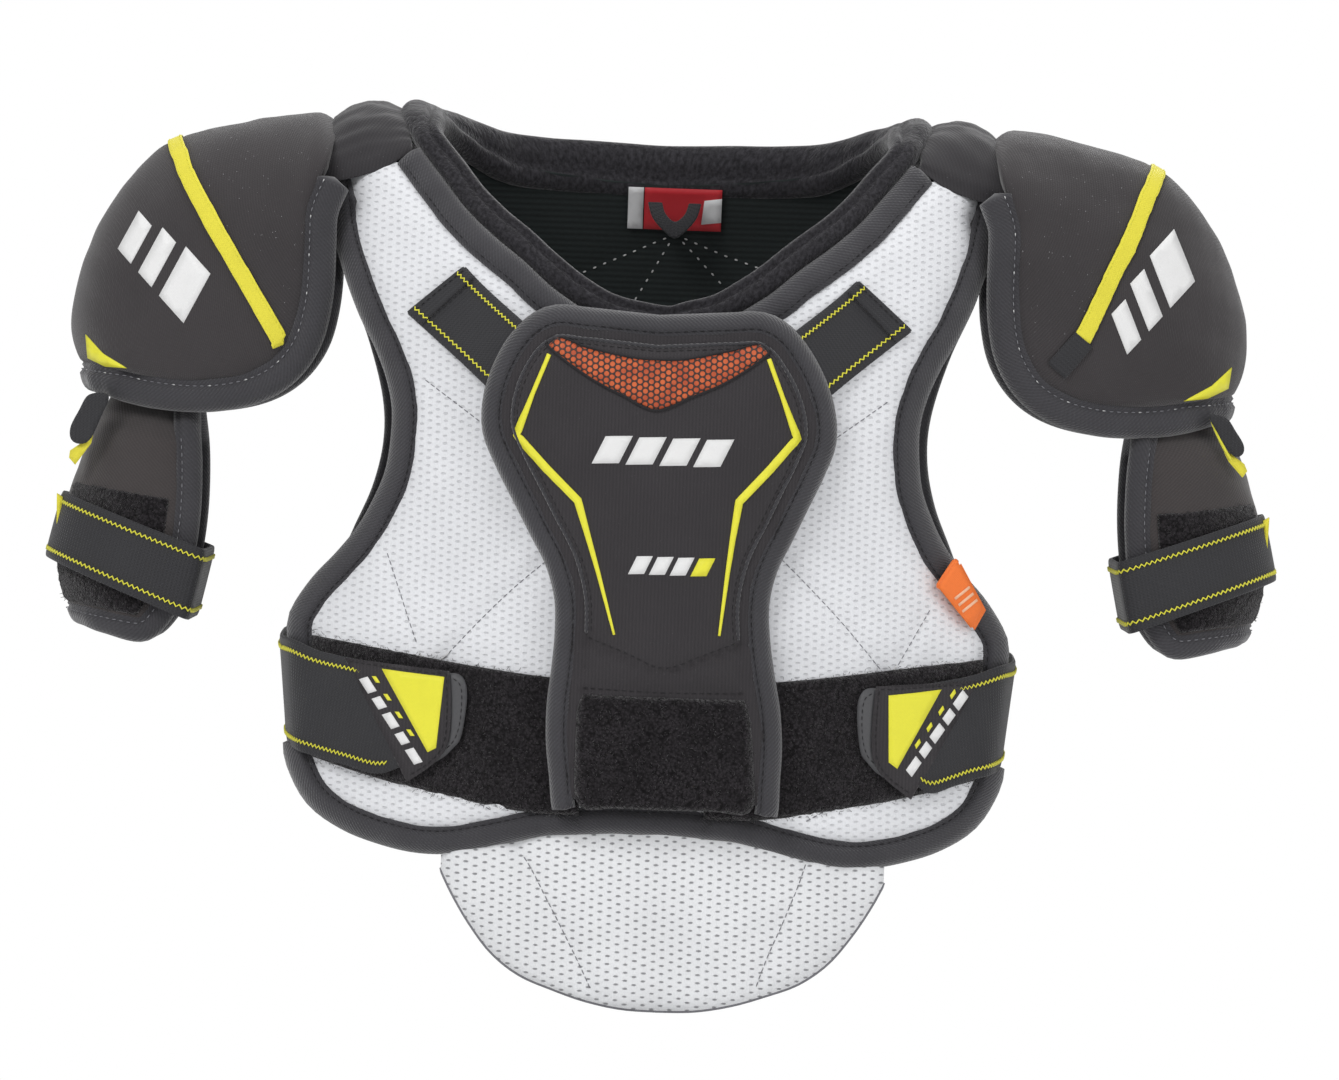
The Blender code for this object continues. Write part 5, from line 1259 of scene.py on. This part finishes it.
def dome_pad(name, dome, us, phis, height, low, mats, which=None, body=None):
    """A padded closed layer over a dome. height(U, PHI, arcs) gives how far it stands proud."""
    U, P = np.meshgrid(us, phis, indexing="ij")
    B = dome.base(U, P)
    step_u = np.concatenate([np.zeros((1, len(phis))), np.cumsum(np.linalg.norm(np.diff(B, axis=0), axis=2), 0)])
    step_p = np.concatenate([np.zeros((len(us), 1)), np.cumsum(np.linalg.norm(np.diff(B, axis=1), axis=2), 1)], 1)
    to_start, to_end = step_u, step_u[-1:] - step_u
    to_front, to_back = step_p, step_p[:, -1:] - step_p
    high = height(U, P, B, to_start, to_end, np.minimum(to_front, to_back))
    outer = dome.at(U, P, high)
    inner = dome.at(U, P, np.broadcast_to(low, U.shape) if np.ndim(low) == 0 else low)
    rows, cols = U.shape
    uv = np.stack([step_u, step_p - step_p[:, cols // 2][:, None]], -1)
    points = np.vstack([outer.reshape(-1, 3), inner.reshape(-1, 3)])
    half = rows * cols
    faces, corner, mat = [], [], []
    for i in range(rows - 1):
        for j in range(cols - 1):
            q = [(i, j), (i + 1, j), (i + 1, j + 1), (i, j + 1)]
            faces.append(tuple(a * cols + b for a, b in q))
            corner += [uv[a, b] for a, b in q]
            mat.append(which(outer[i:i + 2, j:j + 2].mean((0, 1))) if which else 0)
            faces.append(tuple(a * cols + b + half for a, b in reversed(q)))
            corner += [uv[a, b] for a, b in reversed(q)]
            mat.append(len(mats) - 1)
    for i in range(rows - 1):
        for j, turn in ((0, 1), (cols - 1, -1)):
            q = [i * cols + j, (i + 1) * cols + j, (i + 1) * cols + j + half, i * cols + j + half][::turn]
            faces.append(tuple(q))
            corner += [uv[(k % half) // cols, (k % half) % cols] for k in q]
            mat.append(len(mats) - 1)
    for j in range(cols - 1):
        for i, turn in ((0, -1), (rows - 1, 1)):
            q = [i * cols + j, i * cols + j + 1, i * cols + j + 1 + half, i * cols + j + half][::turn]
            faces.append(tuple(q))
            corner += [uv[(k % half) // cols, (k % half) % cols] for k in q]
            mat.append(0)
    obj = make(name, points, faces, mats, np.array(corner), mat, body)
    work = bmesh.new()
    work.from_mesh(obj.data)
    bmesh.ops.recalc_face_normals(work, faces=work.faces)
    work.to_mesh(obj.data)
    work.free()
    return obj


def hug(tree, points, lift):
    out = []
    for p in np.asarray(points, float):
        place, normal, _, _ = tree.find_nearest(Vector(p))
        if normal.dot(Vector(p) - place) < 0:
            normal = -normal
        out.append(place + normal * lift)
    return np.array(out)


def smooth01(t):
    t = np.clip(t, 0, 1)
    return t * t * (3 - 2 * t)


for side, tag in ((-1, "left"), (1, "right")):
    body = "cap_" + tag
    cap = Dome(CAP_RIM, CAP_TOP, lambda u: 56.0 - 25.0 * np.clip(u, 0, 1) ** 2.2, side, (0, CAP_REST[side]))
    if side == -1:
        stripe = np.array([(-192.2, 0.5), (-186.5, -13.5), (-174.4, -33.9), (-158.5, -59), (-143.8, -81.5)])
    else:
        stripe = np.array([(193.0, 3.0), (188, -9.5), (181.1, -27.5), (173, -46), (165.0, -64.8)])
    long_line = np.vstack([stripe[:1] + (stripe[:1] - stripe[1:2]) * 2, stripe, stripe[-1:] + (stripe[-1:] - stripe[-2:-1]) * 2])

    def cap_height(U, P, B, start, end, rimd):
        flat = B.reshape(-1, 3)[:, [0, 2]]
        d = distance(flat, stripe)[0].reshape(U.shape)
        h = crown(np.minimum(rimd, end), 15, 3.4)
        h = h * (0.25 + 0.75 * smooth01(start / 9)) - 1.6 * np.exp(-(start / 3.0) ** 2)
        h -= 0.8 * np.exp(-(d / 3.8) ** 2)
        h += (0.5 * soft_noise(B.reshape(-1, 3), 38, 60 + side, 3)).reshape(U.shape) * smooth01(start / 10)
        # Soft drag lines run from the stitched stripe towards the rim.
        h += 0.22 * np.sin((B[..., 0] * 0.35 + B[..., 2] * 0.75) / 3.1) * np.exp(-((d - 9) / 6) ** 2)
        return h

    def lateral(centre):
        x = np.interp(-centre[2], -long_line[:, 1], long_line[:, 0])
        return 1 if side * (centre[0] - x) > 0 else 0

    piece = dome_pad("cap_pad_" + tag, cap, np.linspace(0, 1, 76), np.linspace(0, math.pi, 110), cap_height, -9.0, (CHARCOAL_LIT, CHARCOAL, LINER), lateral, body)
    belongs(piece, "charcoal_knit", "cap_cover_" + tag, "cap_shell_" + tag, "cap_foam_" + tag, pad=0.75)
    cap_piece, cap_skin = piece, skin_of(piece)
    p, n, out = cap.rim(90, 70)
    A, B = p + n * -3.6 + out * -2.6, p + n * -4.6 + out * 11.9
    size = length_of(A)
    roll = strip("cap_roll_" + tag, A, B, 6.9, BINDING, body, profile=ROLL, bend=lumpy(size, 64 + side, 19, pucker=0.2))
    belongs(roll, "black_fleece", "cap_binding_" + tag)
    seam = p + out * 1.6 + n * 1.9
    dense = catmull(seam[::2], int(size / 0.9))
    tubes("cap_roll_stitches_" + tag, dash_lines(dense, 1.5, 1.5), 0.22, GREY_THREAD, parent=roll)
    flecks = [d for k, d in enumerate(dash_lines(dense + np.array([0, -0.1, 0.0]), 1.0, 2.0)) if (k * 7) % 5 == 0]
    tubes("cap_roll_flecks_" + tag, flecks, 0.26, WHITE_THREAD, parent=roll)

    # Stripe: tape sewn over the cap from the front rim, over the top and down the back.
    u, phi = cap.find(catmull(stripe, 46))
    u, phi = np.concatenate([u[::-1], u]), np.concatenate([phi[::-1], math.pi - phi])
    for _ in range(5):
        u[1:-1] = (u[:-2] + 2 * u[1:-1] + u[2:]) / 4
        phi[1:-1] = (phi[:-2] + 2 * phi[1:-1] + phi[2:]) / 4
    path = catmull(cap.at(u, phi, np.full(len(u), 7.0))[::3], 130)
    normal = np.array([cap_skin.find_nearest(Vector(q))[1] for q in path])
    tangent = np.gradient(path, axis=0)
    across = np.cross(tangent, normal)
    across /= np.linalg.norm(across, axis=1)[:, None]
    A, B = hug(cap_skin, path + across * 3.0, 0.75), hug(cap_skin, path - across * 3.0, 0.75)
    tape = strip("cap_tape_" + tag, A, B, 0.45, YELLOW, parent=cap_piece)
    belongs(tape, "yellow_tape", "cap_stripe_" + tag)
    for s, k in ((0.74, 0), (-0.74, 1)):
        mid = (A + B) / 2 + (B - A) / 2 * s
        lines = dash_lines(hug(cap_skin, catmull(mid, 240), 1.28), 1.7, 0.8)
        tubes("cap_tape_stitches_%s_%d" % (tag, k), lines, 0.2, YELLOW_THREAD, parent=tape)
    if side == 1:
        ends = np.array([(165.5, -63.8), (160.5, -70), (155.4, -76.2)])
        A, B = lay(cap_skin, shifted(catmull(ends, 14), 4.6), 0.8), lay(cap_skin, shifted(catmull(ends, 14), -4.6), 0.8)
        strip("cap_tail_" + tag, A, B, 0.55, ELASTIC, parent=cap_piece)

    # Prints: a yellow wedge by the rim, and generic slanted bars in place of lettering.
    wedge = [(-227.0, -76.0), (-219.5, -83.2), (-209.5, -88.6), (-218.5, -88.2), (-226.0, -85.2)] if side == -1 else [(227.0, -72.5), (219.0, -80.0), (208.0, -86.3), (217.5, -85.0), (226.0, -80.8)]
    us, ps = cap.find(np.vstack([np.linspace(a, b, 8, endpoint=False) for a, b in zip(np.array(wedge), np.roll(np.array(wedge), -1, axis=0))]))
    w = np.array(wedge)
    decal("cap_wedge_" + tag, np.clip(w * [0.992, 1], -300, 300), cap_skin, YELLOW_PRINT, cap_piece, 0.3, 2.4, 2.4)
    if side == -1:
        origin, along, rise = np.array([-213.5, -42.0]), np.array([0.70, -0.714]), np.array([0.45, 0.893])
    else:
        origin, along, rise = np.array([183.0, -69.0]), np.array([0.66, 0.751]), np.array([-0.40, 0.917])
    for k, (at, wide, tall) in enumerate(((0, 8.0, 17), (12.5, 8.0, 20), (25, 14.5, 22))):
        o = origin + along * at
        loop = [o, o + along * wide, o + along * wide + rise * tall, o + rise * tall]
        decal("cap_bar_%s_%d" % (tag, k), loop, cap_skin, WHITE_PRINT, cap_piece, 0.3, 3.0, 2.6)

    # ------------------------------------------------------------ shoulder bridge
    bridge = Dome([(-99, 1), (-112.6, -6.5), (-136.5, -13.0)], [(-99, 11.0), (-107, 17.0), (-118.5, 18.6), (-132, 12.0)], lambda u: 43.0 + 0 * u, side, (0, 0))

    def bridge_height(U, P, B, start, end, rimd):
        h = -0.6 + crown(np.minimum(start, end), 8, 2.2)
        fold = np.sin(P * 19 + 3.1 * np.sin(P * 3.7 + side) + 2.5 * U) * (0.5 + 0.5 * np.sin(P * 4.3 + 1.7 * side))
        return h + 0.3 * fold * crown(np.minimum(start, end), 6, 1.0) + (0.5 * soft_noise(B.reshape(-1, 3), 16, 70 + side)).reshape(U.shape)

    piece = dome_pad("shoulder_gusset_" + tag, bridge, np.linspace(0, 1, 22), np.linspace(-0.06, math.pi + 0.06, 130), bridge_height, -7.5, (GUSSET, LINER), None, None)
    belongs(piece, "charcoal_knit", "shoulder_bridge_" + tag, pad=0.4)
    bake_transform(piece, "torso", body, start=(side * 0.113, 0, 0.012), end=(side * 0.1275, 0, 0.012))

    # ------------------------------------------------------------ arm guard
    shift = ARM_REST[side]
    sx = lambda x: -side * x + side * shift[0]
    arm_body = "arm_" + tag
    arm = Dome(ARM_EDGE, ARM_SIDE, lambda u: (38.0 - 3 * np.clip(u, 0, 1)) * (1 - 0.45 * smooth01((0.06 - u) / 0.24)), side, shift)

    def arm_height(U, P, B, start, end, rimd):
        h = crown(np.minimum(rimd, end), 9, 1.6)
        h = h + (0.35 * soft_noise(B.reshape(-1, 3), 30, 80 + side)).reshape(U.shape)
        band = np.clip((U - 0.52) / 0.06, 0, 1) * np.clip((0.92 - U) / 0.06, 0, 1)
        return h - 0.9 * band

    us = np.linspace(-0.26, 1, 74)
    piece = dome_pad("arm_pad_" + tag, arm, us, np.linspace(0, math.pi, 84), arm_height, -6.6, (ARM_KNIT, LINER), None, None)
    belongs(piece, "charcoal_knit", "arm_cover_" + tag, "arm_foam_" + tag, pad=0.55)
    arm_skin = skin_of(piece)
    p, n, out = arm.rim(66, 60, -0.24)
    A, B = p + n * -2.6 + out * -2.2, p + n * -3.6 + out * 9.0
    size = length_of(A)
    roll = strip("arm_roll_" + tag, A, B, 5.4, BINDING, profile=ROLL, bend=lumpy(size, 84 + side, 17, pucker=0.16))
    belongs(roll, "black_fleece", "arm_binding_" + tag)
    seam = p + out * 1.3 + n * 2.0
    dense = catmull(seam[::2], int(size / 0.9))
    thread = tubes("arm_roll_stitches_" + tag, dash_lines(dense, 1.5, 1.5), 0.2, GREY_THREAD)
    for o in (piece, roll, thread):
        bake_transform(o, body, arm_body, start=(side * 0.215, 0, -0.0925 + shift[1] * MM), end=(side * 0.215, 0, -0.1115 + shift[1] * MM))
    arm_piece = piece

    # Loop patch: a fuzzy field on the outer front of the guard.
    pu, pp = np.linspace(0.34, 0.97, 46), np.radians(np.linspace(5, 74, 60))

    def patch_height(U, P, B, start, end, rimd):
        e = np.minimum(np.minimum(start, end), rimd)
        return 1.5 + 0.9 * np.clip(e / 1.5, 0, 1) ** 0.5 + (0.3 * soft_noise(B.reshape(-1, 3), 3.0, 90, 3)).reshape(U.shape)

    piece = dome_pad("arm_loop_" + tag, arm, pu, pp, patch_height, 0.2, (PILE, PILE), None, arm_body)
    belongs(piece, "loop_pile", "arm_loop_patch_" + tag)
    rng = random.Random(300 + side)
    hairs = []
    U = np.array([rng.uniform(0.335, 0.975) for _ in range(700)])
    P = np.radians([rng.uniform(4, 75) for _ in range(700)])
    root, norm = arm.at(U, P, np.full(700, 2.0)), arm.normal(U, P)
    for q, m_ in zip(root, norm):
        way = m_ * rng.uniform(0.3, 0.9) + np.array([rng.uniform(-1, 1), rng.uniform(-1, 1), rng.uniform(-1, 1)]) * 0.8
        hairs.append([q, q + way * 0.6, q + way * 0.8 + np.array([rng.uniform(-.5, .5), 0, rng.uniform(-.5, .5)])])
    tubes("arm_loop_fibres_" + tag, hairs, 0.13, PILE, parent=piece, sides=3)

    # Band: one elastic round the arm. Its front end peels off at the inner corner.
    def band_edges(path):
        s, y = np.array(path).T
        edges = []
        for inner_end, outer_end in (BAND_TOP, BAND_LOW):
            edges.append(np.stack([[sx(inner_end[0] + (outer_end[0] - inner_end[0]) * v) for v in s], y, inner_end[1] + (outer_end[1] - inner_end[1]) * s + shift[1]], 1))
        return edges

    depth = 38.0 + 3.9
    front = [(0.13 + 0.87 * math.sin(q) ** 0.97, -depth * math.cos(q) ** 0.9) for q in np.linspace(0.08, 1.46, 13)]
    rear = [(0.13 + 0.87 * math.sin(q) ** 0.97, depth * math.cos(q) ** 0.9) for q in np.linspace(0.08, 1.55, 14)]
    loop_path = rear[::-1] + [(0.05, depth), (-0.01, depth - 5), (-0.015, 20), (-0.015, 0), (-0.015, -20), (-0.01, -depth + 5), (0.04, -depth)] + front
    path = catmull([(s * 57.0, y) for s, y in loop_path], 230)
    path[:, 0] /= 57.0
    A, B = band_edges(path)
    middle = (A + B) / 2
    strap = strip("arm_strap_" + tag, A, B, 1.15, ELASTIC)
    length, width = length_of(A), 28.5
    centre_in = np.array([sx(-205.0), 0.0, -157.0])
    lines = []
    _, _, nn, _ = frames(A, B)
    outward = np.sign(((middle - centre_in) * nn).sum(1).mean())
    for at in (-0.72, 0.72):
        uu, w = zigzag_t(length * 0.985, 2.1, 0.6)
        lines.append(on_strip(A, B, 0.008 + uu / length, at + w / (width / 2), np.full(len(uu), 1.45 * outward)))
    zig = tubes("arm_strap_zigzag_" + tag, lines, 0.36, YELLOW_THREAD)
    hinge = np.array([sx(-182.6), -42.3, -168.0 + shift[1]]) * MM
    belongs(strap, "black_elastic", "arm_band_" + tag, "arm_band_end_" + tag)
    # The bend runs across the strap just outside its inner front corner.
    for o in (strap, zig):
        co = np.array([v.co for v in o.data.vertices])
        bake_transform(o, arm_body, "arm_strap_end_" + tag, start=tuple(hinge + np.array([-side * 0.003, 0.006, 0])), end=tuple(hinge + np.array([side * 0.006, -0.004, 0])))
        # Only the front run peels: everything behind the front face stays with the arm.
        weight = np.zeros(len(co))
        attribute = o.data.attributes["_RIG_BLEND"]
        attribute.data.foreach_get("value", weight)
        s_line = np.array([-side * (co[:, 0] / MM - side * shift[0]), co[:, 2] / MM - shift[1]])
        edge_x = -182.6 + (co[:, 2] / MM - shift[1] + 168.0) * 0.2142
        outer = (edge_x - s_line[0])
        wgt = smooth01((outer + 1.0) / 8.0) * (co[:, 1] < -0.004)
        attribute.data.foreach_set("value", wgt.astype(np.float32))

    # Pull tab with its yellow end.
    tab_y = lambda x, z: -36.5 + 0.62 * (np.abs(x) - 214)
    if side == -1:
        tab = [(-214.6, -99.5), (-222.5, -99.5), (-226.5, -106), (-229.6, -112.5), (-229.3, -117.2), (-226.0, -119.0), (-221.6, -117.2), (-217.6, -108.5)]
        end = [(-223.6, -117.5), (-229.6, -121.8), (-229.9, -124.6), (-227.3, -127.3), (-221.0, -118.5), (-220.4, -115.0)]
        cord = [(-215.2, -99.5), (-218.0, -107), (-220.9, -114.0), (-222.1, -118.2)]
    else:
        tab = [(216.4, -91.5), (223.5, -92.5), (227.5, -97.5), (230.8, -102.5), (230.9, -106), (228.2, -107.6), (224.8, -105.2), (220.5, -99)]
        end = [(224.6, -105.5), (231.6, -110.2), (232.9, -113.0), (231.0, -115.6), (225.2, -109.5), (223.2, -106)]
        cord = [(217.6, -93.5), (220.2, -99), (223.4, -104.8), (226.0, -108.8)]
    piece = small_slab("pull_tab_" + tag, catmull(tab, 40, True), lambda x, z: tab_y(x, z) - 1.6, 2.4, ELASTIC, arm_body, 2.0)
    belongs(piece, "black_elastic", "arm_pull_tab_" + tag)
    small_slab("pull_tab_end_" + tag, end, lambda x, z: tab_y(x, z) + 0.4, 0.8, YELLOW, arm_body, 2.0, parent=piece)
    line = catmull(cord, 24)
    tubes("pull_tab_cord_" + tag, [np.stack([line[:, 0], tab_y(line[:, 0], line[:, 1]) - 0.6, line[:, 1]], 1)], 0.7, YELLOW_THREAD, parent=piece)
    # A small yellow end of tape stands above the band's outer corner.
    ex, ez = sx(-237.5), -141.0 + shift[1]
    bit = [(ex - side * -0.9, ez - 12), (ex - side * -1.4, ez + 6), (ex - side * 1.0, ez + 4.5), (ex - side * 0.4, ez - 12)]
    small_slab("strap_mark_" + tag, bit, lambda x, z: -14.0 + 0 * x, 6.0, YELLOW, arm_body, 2.0, parent=None)
    PIECES["strap_mark_" + tag]

    # Hanger: the elastic inside that carries the arm guard.
    line = catmull([(-213.5, -60), (-211, -76), (-208.5, -90), (-208.5, -102), (-213, -116), (-220, -132)], 40)
    line = np.array([(-side * x, z + shift[1]) for x, z in line])
    A, B = (np.stack([line[:, 0], np.full(40, y), line[:, 1]], 1) for y in (-12.0, 12.0))
    piece = strip("arm_hanger_strap_" + tag, A, B, 0.9, ELASTIC)
    belongs(piece, "black_elastic", "arm_hanger_" + tag)
    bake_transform(piece, body, arm_body, start=(side * 0.2085, 0, -0.092 + shift[1] * MM), end=(side * 0.2085, 0, -0.116 + shift[1] * MM))


# ---------------------------------------------------------------- floor, light and camera
def aim(obj, target):
    obj.rotation_euler = (Vector(target) - obj.location).to_track_quat("-Z", "Y").to_euler()


floor_mesh = bpy.data.meshes.new("floor")
reach, low = 1.6, CAD_BOX[0][2] - 0.012
around = [(reach * math.cos(math.pi * k / 36), reach * math.sin(math.pi * k / 36), low) for k in range(72)]
floor_mesh.from_pydata(around, [], [tuple(range(72))])
floor = bpy.data.objects.new("floor", floor_mesh)
bpy.context.scene.collection.objects.link(floor)
pale = bpy.data.materials.new("pale_floor")
pale.use_nodes = True
shader = pale.node_tree.nodes["Principled BSDF"]
shader.inputs["Base Color"].default_value = (0.93, 0.93, 0.93, 1)
shader.inputs["Roughness"].default_value = 0.9
glow = pale.node_tree.nodes.new("ShaderNodeEmission")
glow.inputs["Color"].default_value = (1, 1, 1, 1)
glow.inputs["Strength"].default_value = 1.0
watch = pale.node_tree.nodes.new("ShaderNodeLightPath")
share = pale.node_tree.nodes.new("ShaderNodeMixShader")
pale.node_tree.links.new(watch.outputs["Is Camera Ray"], share.inputs[0])
pale.node_tree.links.new(shader.outputs[0], share.inputs[1])
pale.node_tree.links.new(glow.outputs[0], share.inputs[2])
pale.node_tree.links.new(share.outputs[0], pale.node_tree.nodes["Material Output"].inputs["Surface"])
floor_mesh.materials.append(pale)

world = bpy.data.worlds.new("studio")
world.use_nodes = True
world.node_tree.nodes["Background"].inputs["Color"].default_value = (1, 1, 1, 1)
world.node_tree.nodes["Background"].inputs["Strength"].default_value = 0.5
# The backdrop is seen white, while the light that it gives is softer.
tree = world.node_tree
seen = tree.nodes.new("ShaderNodeBackground")
seen.inputs["Color"].default_value = (1, 1, 1, 1)
seen.inputs["Strength"].default_value = 1.0
path = tree.nodes.new("ShaderNodeLightPath")
both = tree.nodes.new("ShaderNodeMixShader")
tree.links.new(path.outputs["Is Camera Ray"], both.inputs[0])
tree.links.new(tree.nodes["Background"].outputs[0], both.inputs[1])
tree.links.new(seen.outputs[0], both.inputs[2])
tree.links.new(both.outputs[0], tree.nodes["World Output"].inputs["Surface"])
bpy.context.scene.world = world


def area(name, place, target, size, power, tall=None):
    light = bpy.data.lights.new(name, "AREA")
    light.shape = "RECTANGLE"
    light.size, light.size_y = size, tall or size
    light.energy = power
    obj = bpy.data.objects.new(name, light)
    obj.location = place
    bpy.context.scene.collection.objects.link(obj)
    aim(obj, target)
    return obj


area("key", (-1.3, -2.1, 1.7), (0, 0, -0.12), 1.1, 34)
area("fill", (1.9, -1.9, 0.6), (0, 0, -0.15), 1.3, 13)
area("top", (0.1, 0.2, 2.1), (0, 0, -0.1), 1.2, 16)
area("rear", (0.3, 2.4, 1.2), (0, 0, -0.12), 1.4, 16)

camera_data = bpy.data.cameras.new("camera")
camera_data.sensor_width = 36.0
camera_data.lens = 36.0 * 4.0 / 0.5222
camera_data.clip_end = 60
camera = bpy.data.objects.new("camera", camera_data)
bpy.context.scene.collection.objects.link(camera)
RISE = math.radians(1.0)
TARGET = Vector((0.0070, -0.055, -0.1478))
camera.location = TARGET + Vector((0, -math.cos(RISE), math.sin(RISE))) * 4.0
aim(camera, TARGET)
bpy.context.view_layer.update()
camera.rotation_euler.rotate_axis("Z", math.radians(2.1))
bpy.context.scene.camera = camera
bpy.context.scene.view_settings.view_transform = "Standard"
